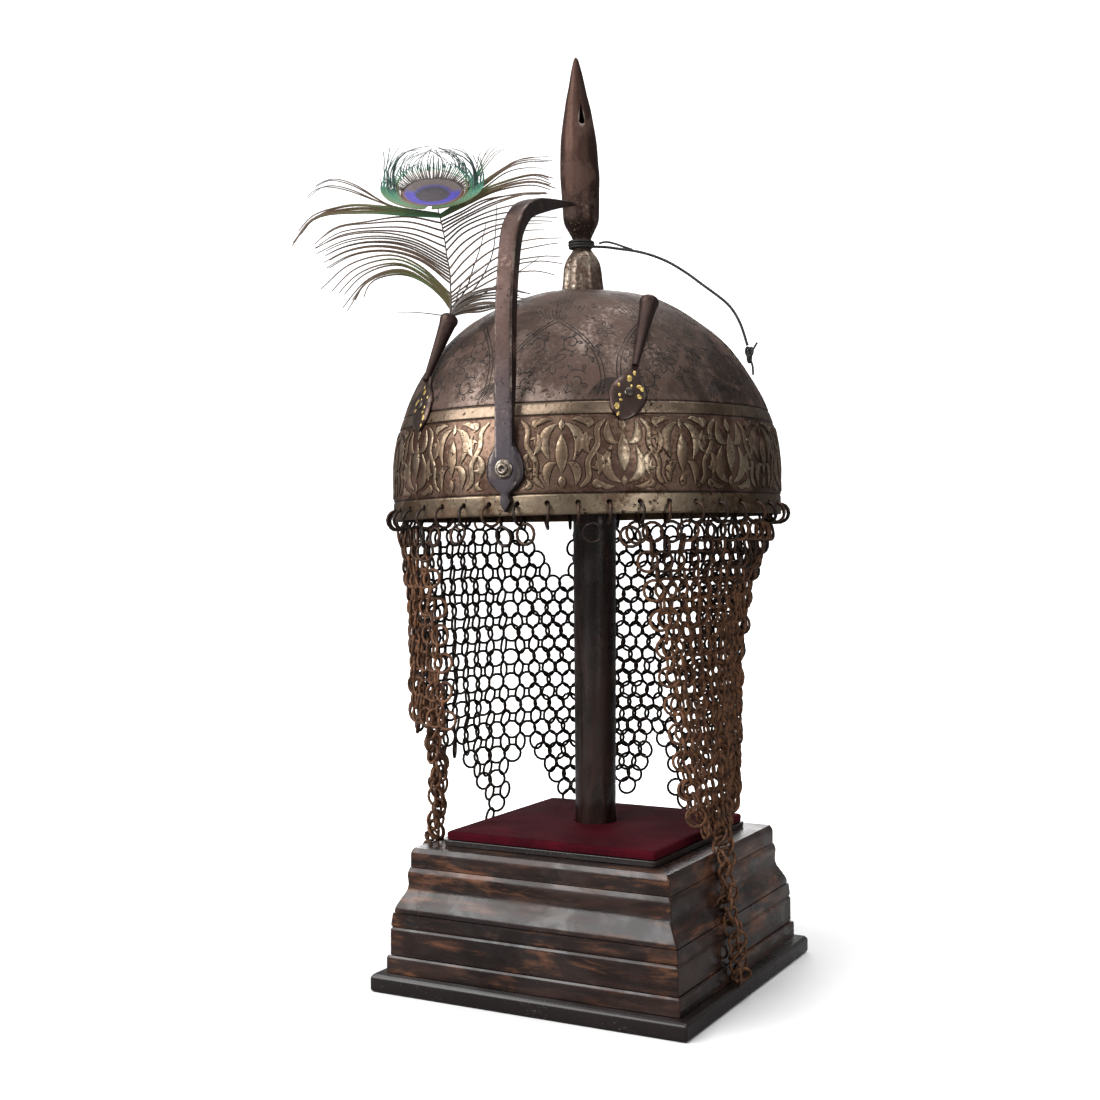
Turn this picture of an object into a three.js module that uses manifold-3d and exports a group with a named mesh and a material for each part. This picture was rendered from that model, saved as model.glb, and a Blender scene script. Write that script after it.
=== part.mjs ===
// Kulah khud: an Indo-Persian helmet with a mail curtain and one peacock feather, on a plain wooden display stand.
// Millimetres, +Z up. The helmet faces -Y. The origin is the middle of the stand's underside.
import * as THREE from "three";
import { mergeGeometries, mergeVertices } from "three/addons/utils/BufferGeometryUtils.js";
import Module from "manifold-3d";

const wasm = await Module();
wasm.setup();

const DEG = Math.PI / 180;
const GAP = 0.3; // between pieces that touch on the real object

// The stand: square layers, each a list of half widths and heights from its foot up.
const BASE_PLATE = [
  { half: 83.6, z: 0 },
  { half: 84.6, z: 1 },
  { half: 84.6, z: 7.4 },
  { half: 83.3, z: 8.75 },
];
const PLINTH_FOOT = [
  { half: 78.8, z: 9.05 },
  { half: 78.8, z: 16.6 },
  { half: 78.2, z: 17.5 },
];
const PLINTH_BOARD = [
  { half: 77.4, z: 17.8 },
  { half: 77.4, z: 30.6 },
  { half: 76.6, z: 31.2 },
  { half: 77.2, z: 31.8 },
  { half: 76.6, z: 38.2 },
];
const PLINTH_OGEE = [
  { half: 76, z: 38.5 },
  { half: 75.4, z: 41 },
  { half: 73.4, z: 45 },
  { half: 71.7, z: 48.5 },
  { half: 71, z: 52 },
  { half: 71.3, z: 57.5 },
  { half: 70.4, z: 60.2 },
];
const PLINTH_CAP = [
  { half: 70.2, z: 60.5 },
  { half: 70.2, z: 67.8 },
  { half: 68.9, z: 70 },
];
const PAD_BOARD = { half: 58.2, z: 70.3, height: 2.7, bevel: 0 };
const VELVET_PAD = { half: 57.2, z: 73.3, height: 3.9, bevel: 1 };
const POST = { x: -3.96, y: 4.71, hole: 10.9, sides: 16, holeSteps: 8 };
const POST_OUTLINE = [
  { r: 0, z: 70.3 },
  { r: 10.4, z: 70.3 },
  { r: 11.4, z: 330 },
  { r: 10.2, z: 340 },
  { r: 6.5, z: 346.5 },
  { r: 0, z: 349.7 },
];

// The helmet's own frame: the middle of the rim, with a small lean and turn on the post.
const HELMET = { x: -7.4, y: 3, z: 234.4, pitch: 0.4, roll: -0.81, turn: 3.7 };
const SKULL = { radius: 100, height: 117.5, wall: 1.6, straight: 22, roundPower: 2.25, risePower: 1.83 };
const SKULL_SIDES = 44;
const OUTER_STEPS = [0, 14, 27, 40, 52, 64, 75, 84, 90];
const INNER_STEPS = [0, 23, 42, 60, 77, 90];
const RIM_HOLES = { count: 44, z: 5.5, radius: 1.5, reach: 8, sides: 5 };
const BAND_LEAVES = { count: 22, z: 28, raised: 0.8, sunk: 0.7, skip: 0 };
const BAND_LEAF = [
  { across: 0, up: -14 },
  { across: 8, up: -5 },
  { across: 4.6, up: 4 },
  { across: 0, up: 14 },
];

// The finial: a lobed collar on the crown, and a hollow spike that leans a little more than the skull.
const COLLAR_SIDES = 16;
const COLLAR_LOBES = { count: 8, depth: 0.035 };
const COLLAR = [
  { r: 0, z: 117.8 },
  { r: 10.7, z: 117.8 },
  { r: 10.7, z: 119.2 },
  { r: 9.9, z: 124.1 },
  { r: 8.9, z: 132.4 },
  { r: 6, z: 137.6 },
  { r: 5, z: 139.2 },
  { r: 0, z: 139.2 },
];
const SPIKE_LEAN = { z: 139.5, pitch: 0.3, roll: -0.74 };
const SPIKE_SIDES = 12;
const SPIKE_OUTER = [
  { r: 0, z: 0 },
  { r: 4.7, z: 0 },
  { r: 4.7, z: 5.9 },
  { r: 7, z: 10.1 },
  { r: 9.1, z: 14.8 },
  { r: 10.3, z: 34 },
  { r: 9.7, z: 50 },
  { r: 8.2, z: 64 },
  { r: 5.9, z: 77.8 },
  { r: 3.4, z: 89.5 },
  { r: 1.2, z: 99 },
  { r: 0, z: 100.5 },
];
const SPIKE_HOLLOW = [
  { r: 0, z: 12 },
  { r: 7.6, z: 15.5 },
  { r: 9.2, z: 34 },
  { r: 7, z: 64 },
  { r: 0, z: 84 },
];
const SPIKE_SLOT = { azimuth: 38, z: 65.6, radius: 1.8, point: 10, sweep: 110, steps: 5, from: 2, to: 12 };

// The nasal bar, by its distance out from the skull's axis and its height, front face first and then the back.
const NASAL_TURN = 1.2;
const NASAL_WIDTH = 9;
const NASAL_TAPER = { from: 58, to: 10, share: 0.22 };
const NASAL_OUTLINE = [
  { out: 103.2, z: 27 },
  { out: 102.8, z: 42 },
  { out: 100.9, z: 88.2 },
  { out: 98, z: 109.9 },
  { out: 92.8, z: 132.2 },
  { out: 85.6, z: 142.2 },
  { out: 77.5, z: 148.2 },
  { out: 66.8, z: 152.5 },
  { out: 54.6, z: 155.3 },
  { out: 33, z: 158.9 },
  { out: 10.4, z: 162.4 },
  { out: 10.4, z: 160.6 },
  { out: 33.3, z: 154.6 },
  { out: 58.1, z: 147.2 },
  { out: 72.5, z: 142 },
  { out: 80.5, z: 136 },
  { out: 86.4, z: 127.5 },
  { out: 91.6, z: 108 },
  { out: 94.3, z: 88 },
  { out: 95.8, z: 66 },
  { out: 98.4, z: 48 },
  { out: 100.6, z: 34 },
  { out: 100.6, z: 27 },
];
const NASAL_FOOT = { back: 100.4, front: 102.9 };
const NASAL_FOOT_LEAF = [
  { across: 0, up: 1.8 },
  { across: 2.8, up: 6.2 },
  { across: 2.3, up: 9.8 },
  { across: 5.4, up: 12.6 },
  { across: 8.7, up: 17 },
  { across: 9.2, up: 21.5 },
  { across: 8.3, up: 26.5 },
  { across: 4.5, up: 34 },
  { across: 0, up: 34.5 },
];
const BOLT = { z: 21.5, sides: 12 };
const BOLT_OUTLINE = [
  { r: 0, z: 0 },
  { r: 4.5, z: 0 },
  { r: 4.3, z: 0.8 },
  { r: 3, z: 1 },
  { r: 2.6, z: 1.9 },
  { r: 0, z: 2.3 },
];

// The plume sockets: a leaf plate on the skull and a hollow cone that stands away from it.
const SOCKET = { azimuth: 32.3, z: 42.5, turn: 6, rise: 26.2, length: 30, round: 93, lean: 0.322, lift: 0.4 };
const SOCKET_PLATE = 1.2;
const SOCKET_LEAF = [
  { half: 0, along: 0 },
  { half: 6.4, along: 6 },
  { half: 8.75, along: 13 },
  { half: 6.2, along: 21 },
  { half: 1.8, along: 30.5 },
];
const SOCKET_NECK = { azimuth: 38.3, z: 68.7, lift: 2.3 };
const SOCKET_MOUTH = { x: 54, y: -46.5, z: 102.5 };
const SOCKET_SIDES = 10;
const SOCKET_CONE = [
  { r: 0, z: 0 },
  { r: 1.6, z: 0 },
  { r: 4.3, z: 37.4 },
  { r: 4.8, z: 38.4 },
  { r: 4.5, z: 39.9 },
  { r: 3.3, z: 39.9 },
  { r: 0.8, z: 10 },
  { r: 0, z: 9 },
];
const RIVET = { along: 14.5, radius: 2.35, crown: 0.7, height: 0.8, sides: 10 };

// The mail curtain hangs from the rim's rings. Each column of its lattice has the angle where it leaves the rim,
// the angle and height of its foot, how far it has drawn in by then, and how far a fold stands out.
const MAIL = { radius: 98.5, thick: 2.4, drop: 3.5, band: 4, rows: 6, settle: 31, spread: 0.7 };
const MAIL_BAR = { along: 0.36, up: 0.36 };
const MAIL_EDGE = 0.3; // width of the front edge's band, in columns
const MAIL_COLUMNS = [
  { top: 36, foot: 64, z: 93, inset: 24, fold: 0 },
  { top: 46, foot: 70, z: 88, inset: 24, fold: 2.5 },
  { top: 58, foot: 78, z: 82, inset: 24, fold: -1.5 },
  { top: 70, foot: 86, z: 84, inset: 24, fold: 2.5 },
  { top: 82, foot: 95, z: 86, inset: 24, fold: -1.5 },
  { top: 94, foot: 104, z: 92, inset: 24, fold: 2.5 },
  { top: 107, foot: 112, z: 90, inset: 23, fold: -1 },
  { top: 120, foot: 121, z: 102, inset: 21, fold: 0 },
  { top: 133, foot: 135, z: 80, inset: 17, fold: 0 },
  { top: 147, foot: 150, z: 112, inset: 13.5, fold: 0 },
  { top: 161, foot: 164.7, z: 71.5, inset: 11, fold: 0 },
  { top: 174, foot: 177.7, z: 119, inset: 10.5, fold: 0 },
  { top: 186, foot: 188, z: 72, inset: 10, fold: 0 },
  { top: 197, foot: 196.6, z: 111, inset: 10, fold: 0 },
  { top: 209, foot: 207.8, z: 70.5, inset: 10, fold: 0 },
  { top: 225, foot: 223, z: 112, inset: 10, fold: 0 },
  { top: 240, foot: 241.5, z: 67.5, inset: 10, fold: 0 },
  { top: 254, foot: 256, z: 114.6, inset: 10, fold: 0 },
  { top: 268, foot: 271, z: 95, inset: 10, fold: 0 },
  { top: 280, foot: 283, z: 135, inset: 10.3, fold: 0 },
  { top: 291, foot: 293, z: 124, inset: 10.6, fold: 1 },
  { top: 302, foot: 303, z: 139, inset: 11, fold: 2.5 },
  { top: 313, foot: 317, z: 134, inset: 12, fold: -1 },
  { top: 324, foot: 332, z: 136, inset: 13, fold: 0 },
];
const MAIL_TEAR = { column: 14, rows: 2 }; // rings lost behind, from the rim down
const RIM_RING = { radius: 5.4, wire: 0.6, sides: 5, segments: 10, out: 99.2, z: 0.4 };
const HUNG_RINGS = [4, 8, 12, 16, 20, 24, 28, 32, 36, 38];
const FRONT_RINGS = [40, 42, 0, 2];
const FRONT_ROW = { from: -31.5, to: 31.5, windows: 6, bar: 1.8, rows: [0, 2.4, 6.4, 8.4], drawIn: 0.2 };
const TAIL_SIDES = 8;
const RIGHT_TAIL_FACE = 97;
const RIGHT_TAIL = [
  { x: 66, y: -7.5, z: 94, width: 17, thick: 8 },
  { x: 71, y: -9, z: 78, width: 14, thick: 7 },
  { x: 74, y: -11, z: 69, width: 11, thick: 6 },
  { x: 76, y: -14, z: 48, width: 9.5, thick: 6 },
  { x: 81, y: -17, z: 36, width: 9, thick: 5.5 },
  { x: 82, y: -17, z: 25, width: 8, thick: 5.5 },
  { x: 83, y: -16, z: 13, width: 6, thick: 5 },
];
const LEFT_TAIL_FACE = -62;
const LEFT_TAIL = [
  { x: -71, y: -50, z: 143, width: 17, thick: 13 },
  { x: -69, y: -48, z: 125, width: 16, thick: 10 },
  { x: -68, y: -46, z: 100, width: 15, thick: 8 },
  { x: -71, y: -44.5, z: 80, width: 14, thick: 7 },
  { x: -75, y: -43, z: 67, width: 12, thick: 5.5 },
  { x: -76, y: -43, z: 52, width: 10, thick: 5 },
];

// The black cord: two turns round the spike's waist, then a stiff bow down to a knot over the skull's shoulder.
// The route is given by distance out from the helmet's upright axis and height, in one upright plane.
const CORD = { azimuth: 110, diameter: 1.4, sides: 8, steps: 26 };
const CORD_ROUTE = [
  { out: 5.95, z: 375.6 },
  { out: 11, z: 375.2 },
  { out: 17.6, z: 374.1 },
  { out: 22.8, z: 373.3 },
  { out: 27.9, z: 372.2 },
  { out: 33, z: 370.7 },
  { out: 38.4, z: 368.6 },
  { out: 43.5, z: 366.1 },
  { out: 48.7, z: 362.9 },
  { out: 53.9, z: 359.3 },
  { out: 58.9, z: 355.4 },
  { out: 63.8, z: 351.7 },
  { out: 68.6, z: 348 },
  { out: 73.2, z: 343.9 },
  { out: 76.6, z: 339.4 },
  { out: 79.3, z: 334.2 },
  { out: 81.2, z: 328.9 },
  { out: 83.05, z: 322.6 },
];
const WRAP_SIDES = 12;
const CORD_WRAP = [
  { r: 5, z: 0.5 },
  { r: 7.4, z: 0.3 },
  { r: 7.9, z: 1.5 },
  { r: 7.1, z: 2.8 },
  { r: 7.9, z: 4.1 },
  { r: 7.4, z: 5.2 },
  { r: 5, z: 5 },
];
const KNOT = { out: 83.9, z: 320.2, radius: 2.3, around: 8, up: 6 };
const KNOT_TAIL_SIDES = 6;
const KNOT_TAILS = [
  [
    { out: 83.9, z: 320.2 },
    { out: 86.6, z: 319.6 },
    { out: 88.4, z: 321.2 },
  ],
  [
    { out: 83.9, z: 320.2 },
    { out: 85.4, z: 313.5 },
    { out: 85.9, z: 307.5 },
  ],
];

// The feather stands in the left socket, flat to the helmet's front left. Across and up are from the socket's mouth.
const FEATHER_FACE = 26.1;
const FEATHER_BARB = { width: 5, thick: 1, sides: 4, steps: 3, taper: 0.75, bendBack: 0.4 };
const QUILL_SIDES = 6;
const QUILL = [
  { across: 0, up: 12, width: 2 },
  { across: -1.3, up: 27.8, width: 2 },
  { across: -4.4, up: 46.9, width: 1.8 },
  { across: -8.2, up: 63, width: 1.6 },
];
const QUILL_DEPTH = 23;
const EYE = { across: -8.5, up: 63.9, tilt: 30, sides: 12 };
const EYE_OUTLINE = [
  { r: 0, z: -1 },
  { r: 15, z: -0.7 },
  { r: 20.5, z: 0.6 },
  { r: 0, z: 1 },
];
const BARBS = [
  { from: 14, bendAcross: -12, bendUp: 16, tipAcross: -27, tipUp: -1, back: 0 },
  { from: 18, bendAcross: -34, bendUp: 24, tipAcross: -58, tipUp: -1, back: 0 },
  { from: 24, bendAcross: -44, bendUp: 34, tipAcross: -68, tipUp: 13, back: 2 },
  { from: 32, bendAcross: -46, bendUp: 48, tipAcross: -80.7, tipUp: 33.5, back: 0 },
  { from: 40, bendAcross: -46, bendUp: 58, tipAcross: -77, tipUp: 54, back: 3 },
  { from: 46, bendAcross: -40, bendUp: 64, tipAcross: -75, tipUp: 66, back: 0 },
  { from: 14, bendAcross: 14, bendUp: 18, tipAcross: 34, tipUp: 14, back: -24 },
  { from: 19, bendAcross: 26, bendUp: 26, tipAcross: 56, tipUp: 17, back: -30 },
  { from: 26, bendAcross: 30, bendUp: 36, tipAcross: 58, tipUp: 32, back: -20 },
  { from: 34, bendAcross: 26, bendUp: 50, tipAcross: 51, tipUp: 48, back: -14 },
  { from: 42, bendAcross: 24, bendUp: 62, tipAcross: 54, tipUp: 68, back: -8 },
  { from: 47, bendAcross: 22, bendUp: 68, tipAcross: 52, tipUp: 79, back: -4 },
  { from: 54, bendAcross: 12, bendUp: 74, tipAcross: 30, tipUp: 87, back: 0 },
  { from: 54, bendAcross: -30, bendUp: 66, tipAcross: -37, tipUp: 80, back: 4 },
  { from: 56, bendAcross: -16, bendUp: 78, tipAcross: -20, tipUp: 86, back: 6 },
  { from: 56, bendAcross: -2, bendUp: 76, tipAcross: 2, tipUp: 86.5, back: 6 },
];

const FINISH = {
  lacquer: { color: 0x262122, roughness: 0.3, metalness: 0 },
  walnut: { color: 0x4a3025, roughness: 0.25, metalness: 0 },
  velvet: { color: 0x5a1826, roughness: 1, metalness: 0 },
  brownSteel: { color: 0x6a5347, roughness: 0.5, metalness: 0.9 },
  greySteel: { color: 0x7b726a, roughness: 0.45, metalness: 0.9 },
  rustySpike: { color: 0x5f4139, roughness: 0.6, metalness: 0.7 },
  boltHead: { color: 0xa39c90, roughness: 0.4, metalness: 0.9 },
  mail: { color: 0x4a3428, roughness: 0.6, metalness: 0.7 },
  cord: { color: 0x141414, roughness: 0.6, metalness: 0 },
  feather: { color: 0x4d5a35, roughness: 0.7, metalness: 0 },
};

// A geometry as one closed solid whose faces point outwards.
function solidOf(geometry) {
  const bare = geometry.clone();
  bare.deleteAttribute("normal");
  bare.deleteAttribute("uv");
  const merged = mergeVertices(bare, 1e-4);
  const corners = merged.index.array;
  const faces = [];
  for (let i = 0; i < corners.length; i += 3) {
    const face = [corners[i], corners[i + 1], corners[i + 2]];
    if (new Set(face).size === 3) faces.push(face);
  }
  const build = () =>
    new wasm.Manifold(
      new wasm.Mesh({
        numProp: 3,
        vertProperties: merged.getAttribute("position").array,
        triVerts: new Uint32Array(faces.flat()),
      }),
    );
  const solid = build();
  if (solid.volume() >= 0) return solid;
  faces.forEach((face) => face.reverse());
  return build();
}

// A solid's triangles as a geometry with flat faces.
function geometryOf(solid) {
  const mesh = solid.getMesh();
  const positions = new Float32Array(mesh.numVert * 3);
  for (let i = 0; i < mesh.numVert; i++)
    positions.set(mesh.vertProperties.subarray(i * mesh.numProp, i * mesh.numProp + 3), i * 3);
  const geometry = new THREE.BufferGeometry()
    .setAttribute("position", new THREE.BufferAttribute(positions, 3))
    .setIndex(new THREE.BufferAttribute(mesh.triVerts, 1));
  geometry.computeVertexNormals();
  return geometry;
}

function named(name, solid, finish) {
  const mesh = new THREE.Mesh(geometryOf(solid), new THREE.MeshStandardMaterial(finish));
  mesh.name = name;
  return mesh;
}

const joined = (solids) => solids.reduce((all, next) => all.add(next));

// A closed outline turned round Z. A corner at angle A lies A degrees round from -Y towards +X.
function turned(outline, sides) {
  const points = outline.map(({ r, z }) => new THREE.Vector2(r, z));
  return new THREE.LatheGeometry(points, sides).rotateX(Math.PI / 2);
}

// Square layers on one another.
function squareStack(layers) {
  const rows = layers.map(({ half, z }) => ({ r: half * Math.SQRT2, z }));
  const outline = [{ r: 0, z: rows[0].z }, ...rows, { r: 0, z: rows.at(-1).z }];
  return turned(outline, 4).rotateZ(45 * DEG);
}

// A square board with a round hole for the post.
function boardRoundPost({ half, z, height, bevel }) {
  const edge = half - bevel;
  const outline = new THREE.Shape();
  outline.moveTo(-edge, -edge).lineTo(edge, -edge).lineTo(edge, edge).lineTo(-edge, edge);
  const hole = new THREE.Path().absarc(POST.x, POST.y, POST.hole + bevel, 0, 2 * Math.PI);
  outline.holes.push(hole);
  const made = new THREE.ExtrudeGeometry(outline, {
    depth: height - 2 * bevel,
    curveSegments: POST.holeSteps,
    bevelEnabled: bevel > 0,
    bevelThickness: bevel,
    bevelSize: bevel,
    bevelSegments: 1,
  });
  return made.translate(0, 0, z + bevel);
}

// A half outline mirrored about its middle line, as one closed shape.
function mirroredShape(half) {
  const back = half.slice(1, -1).reverse();
  const points = [...half, ...back.map(({ across, up }) => ({ across: -across, up }))];
  return new THREE.Shape(points.map(({ across, up }) => new THREE.Vector2(across, up)));
}

// Moves every corner of a geometry.
function bent(geometry, place) {
  const position = geometry.getAttribute("position");
  const corner = new THREE.Vector3();
  for (let i = 0; i < position.count; i++) {
    corner.fromBufferAttribute(position, i);
    const to = place(corner);
    position.setXYZ(i, to.x, to.y, to.z);
  }
  return geometry;
}

const around = (azimuth, out, z) =>
  new THREE.Vector3(out * Math.sin(azimuth * DEG), -out * Math.cos(azimuth * DEG), z);

// The skull's outer radius at a height above its rim: straight at first, then rounding in to the crown.
function skullRadius(z) {
  const rise = Math.max(0, (z - SKULL.straight) / (SKULL.height - SKULL.straight));
  const sine = rise ** (SKULL.risePower / 2);
  return SKULL.radius * Math.sqrt(Math.max(0, 1 - sine * sine)) ** (2 / SKULL.roundPower);
}

// A point above the skull's outside, lifted square to the surface.
function onSkull(azimuth, z, lift) {
  const tilt = Math.atan(skullRadius(z - 0.5) - skullRadius(z + 0.5));
  return around(azimuth, skullRadius(z) + lift * Math.cos(tilt), z + lift * Math.sin(tilt));
}

// One side of the skull's section, from the rim to the crown.
function skullSection(steps, wall) {
  const rows = steps.map((step) => ({
    r: (SKULL.radius - wall) * Math.cos(step * DEG) ** (2 / SKULL.roundPower),
    z:
      SKULL.straight +
      (SKULL.height - wall - SKULL.straight) * Math.sin(step * DEG) ** (2 / SKULL.risePower),
  }));
  rows.at(-1).r = 0;
  return [{ r: SKULL.radius - wall, z: 0 }, ...rows];
}

function rimHoles() {
  const holes = [];
  for (let i = 0; i < RIM_HOLES.count; i++) {
    const azimuth = ((i + 0.5) * 360) / RIM_HOLES.count;
    const hole = new THREE.CylinderGeometry(RIM_HOLES.radius, RIM_HOLES.radius, RIM_HOLES.reach, RIM_HOLES.sides);
    const middle = around(azimuth, SKULL.radius, RIM_HOLES.z);
    holes.push(hole.rotateZ(azimuth * DEG).translate(middle.x, middle.y, middle.z));
  }
  return solidOf(mergeGeometries(holes));
}

// One raised leaf of the band, wrapped on the skull; every second one stands on its head.
function bandLeaf(index) {
  const azimuth = (index * 360) / BAND_LEAVES.count;
  const upright = index % 2 === 0 ? 1 : -1;
  const depth = BAND_LEAVES.raised + BAND_LEAVES.sunk;
  const leaf = new THREE.ExtrudeGeometry(mirroredShape(BAND_LEAF), { depth, bevelEnabled: false });
  return bent(leaf, ({ x, y, z }) =>
    onSkull(azimuth + x / SKULL.radius / DEG, BAND_LEAVES.z + upright * y, z - BAND_LEAVES.sunk),
  );
}

function makeSkull() {
  const outside = skullSection(OUTER_STEPS, 0);
  const inside = skullSection(INNER_STEPS, SKULL.wall).reverse();
  const leaves = [];
  for (let i = 0; i < BAND_LEAVES.count; i++) {
    if (i !== BAND_LEAVES.skip) leaves.push(solidOf(bandLeaf(i)));
  }
  const shell = solidOf(turned([...outside, ...inside, outside[0]], SKULL_SIDES));
  return joined([shell, ...leaves]).subtract(rimHoles());
}

// The collar's lobes are waves round its side.
function makeCollar() {
  const plain = turned(COLLAR, COLLAR_SIDES);
  return solidOf(
    bent(plain, ({ x, y, z }) => {
      const wave = 1 + COLLAR_LOBES.depth * Math.cos(COLLAR_LOBES.count * Math.atan2(x, -y));
      return new THREE.Vector3(x * wave, y * wave, z);
    }),
  );
}

// The spike's slot is a teardrop with its point up.
function spikeSlot() {
  const outline = [{ across: 0, up: -SPIKE_SLOT.radius }];
  for (let i = 1; i <= SPIKE_SLOT.steps; i++) {
    const turn = (-90 + (i * SPIKE_SLOT.sweep) / SPIKE_SLOT.steps) * DEG;
    outline.push({ across: SPIKE_SLOT.radius * Math.cos(turn), up: SPIKE_SLOT.radius * Math.sin(turn) });
  }
  outline.push({ across: 0, up: SPIKE_SLOT.point });
  const depth = SPIKE_SLOT.to - SPIKE_SLOT.from;
  const slot = new THREE.ExtrudeGeometry(mirroredShape(outline), { depth, bevelEnabled: false });
  slot.rotateX(Math.PI / 2).translate(0, -SPIKE_SLOT.from, SPIKE_SLOT.z);
  return slot.rotateZ(SPIKE_SLOT.azimuth * DEG);
}

function makeSpike() {
  const outer = solidOf(turned(SPIKE_OUTER, SPIKE_SIDES));
  return outer.subtract(solidOf(turned(SPIKE_HOLLOW, SPIKE_SIDES))).subtract(solidOf(spikeSlot()));
}

// The bar and its pointed tongue are one forging with the leaf that it is bolted by.
function makeNasal() {
  const outline = new THREE.Shape(NASAL_OUTLINE.map(({ out, z }) => new THREE.Vector2(out, z)));
  const bar = new THREE.ExtrudeGeometry(outline, { depth: NASAL_WIDTH, bevelEnabled: false });
  bent(bar, ({ x, y, z }) => {
    const reach = THREE.MathUtils.clamp((NASAL_TAPER.from - x) / (NASAL_TAPER.from - NASAL_TAPER.to), 0, 1);
    const narrow = THREE.MathUtils.lerp(1, NASAL_TAPER.share, reach);
    return new THREE.Vector3((z - NASAL_WIDTH / 2) * narrow, -x, y);
  });
  const depth = NASAL_FOOT.front - NASAL_FOOT.back;
  const foot = new THREE.ExtrudeGeometry(mirroredShape(NASAL_FOOT_LEAF), { depth, bevelEnabled: false });
  foot.rotateX(Math.PI / 2).translate(0, -NASAL_FOOT.back, 0);
  return solidOf(bar).add(solidOf(foot));
}

function makeBolt() {
  return solidOf(turned(BOLT_OUTLINE, BOLT.sides).rotateX(Math.PI / 2).translate(0, -NASAL_FOOT.front - GAP, BOLT.z));
}

// A point on the socket's leaf: across it, along it from its tip, and lifted off the skull. Side is 1 or -1.
function onSocketLeaf(side, across, along, lift) {
  const share = along / SOCKET.length;
  const straight = Math.sqrt(1 - SOCKET.lean ** 2);
  const azimuth = SOCKET.azimuth + SOCKET.turn * share + (across * straight) / SOCKET.round / DEG;
  const z = SOCKET.z + SOCKET.rise * share - across * SOCKET.lean;
  return onSkull(side * azimuth, z, lift);
}

// Turns a piece that was made along Z to point along a direction, and moves its foot to a place.
function aimed(geometry, foot, direction) {
  const turn = new THREE.Quaternion().setFromUnitVectors(new THREE.Vector3(0, 0, 1), direction);
  return geometry.applyQuaternion(turn).translate(foot.x, foot.y, foot.z);
}

function socketAxis(side) {
  const neck = onSkull(side * SOCKET_NECK.azimuth, SOCKET_NECK.z, SOCKET_NECK.lift);
  const mouth = new THREE.Vector3(side * SOCKET_MOUTH.x, SOCKET_MOUTH.y, SOCKET_MOUTH.z);
  return { neck, mouth, direction: mouth.clone().sub(neck).normalize() };
}

function makeSocket(side) {
  const polygons = [];
  SOCKET_LEAF.slice(1).forEach((row, i) => {
    const below = SOCKET_LEAF[i];
    for (const half of [1, -1]) {
      const outer = [below.half * half, below.along];
      const corners = [[0, below.along], outer, [row.half * half, row.along], [0, row.along]];
      polygons.push(below.half === 0 ? [corners[0], corners[2], corners[3]] : corners);
    }
  });
  const facing = polygons.map((corners, i) => (i % 2 === 0 ? corners : corners.reverse()));
  const leaf = thickSheet(facing, (across, along, outside) =>
    onSocketLeaf(side, across, along, SOCKET.lift + (outside ? SOCKET_PLATE : 0)),
  );
  const { neck, direction } = socketAxis(side);
  const cone = aimed(turned(SOCKET_CONE, SOCKET_SIDES), neck, direction);
  return solidOf(leaf).add(solidOf(cone));
}

function makeRivet(side) {
  const { radius, crown, height, along, sides } = RIVET;
  const seat = SOCKET.lift + SOCKET_PLATE + GAP;
  const foot = onSocketLeaf(side, 0, along, seat);
  const direction = onSocketLeaf(side, 0, along, seat + 1).sub(foot).normalize();
  const outline = [
    { r: 0, z: 0 },
    { r: radius, z: 0 },
    { r: radius * crown, z: height },
    { r: 0, z: height },
  ];
  return solidOf(aimed(turned(outline, sides), foot, direction));
}

// A sheet with thickness: flat polygons given in two coordinates are bent by place(u, v, outside), and closed
// by walls round their free edges.
function thickSheet(polygons, place) {
  const corners = [];
  const numbers = new Map();
  const numberOf = ([u, v]) => {
    const key = u.toFixed(3) + " " + v.toFixed(3);
    if (!numbers.has(key)) {
      numbers.set(key, corners.length);
      corners.push([u, v]);
    }
    return numbers.get(key);
  };
  const faces = [];
  const edges = new Set();
  for (const polygon of polygons) {
    const ring = polygon.map(numberOf);
    ring.forEach((from, i) => edges.add(from + " " + ring[(i + 1) % ring.length]));
    for (let i = 1; i + 1 < ring.length; i++) faces.push([ring[0], ring[i], ring[i + 1]]);
  }
  const count = corners.length;
  const closed = faces.flatMap(([a, b, c]) => [a, b, c, c + count, b + count, a + count]);
  for (const edge of edges) {
    const [a, b] = edge.split(" ").map(Number);
    if (!edges.has(b + " " + a)) closed.push(b, a, a + count, b, a + count, b + count);
  }
  const outer = corners.map(([u, v]) => place(u, v, true));
  const inner = corners.map(([u, v]) => place(u, v, false));
  const positions = [...outer, ...inner].flatMap((point) => point.toArray());
  return new THREE.BufferGeometry()
    .setAttribute("position", new THREE.Float32BufferAttribute(positions, 3))
    .setIndex(closed);
}

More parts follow.
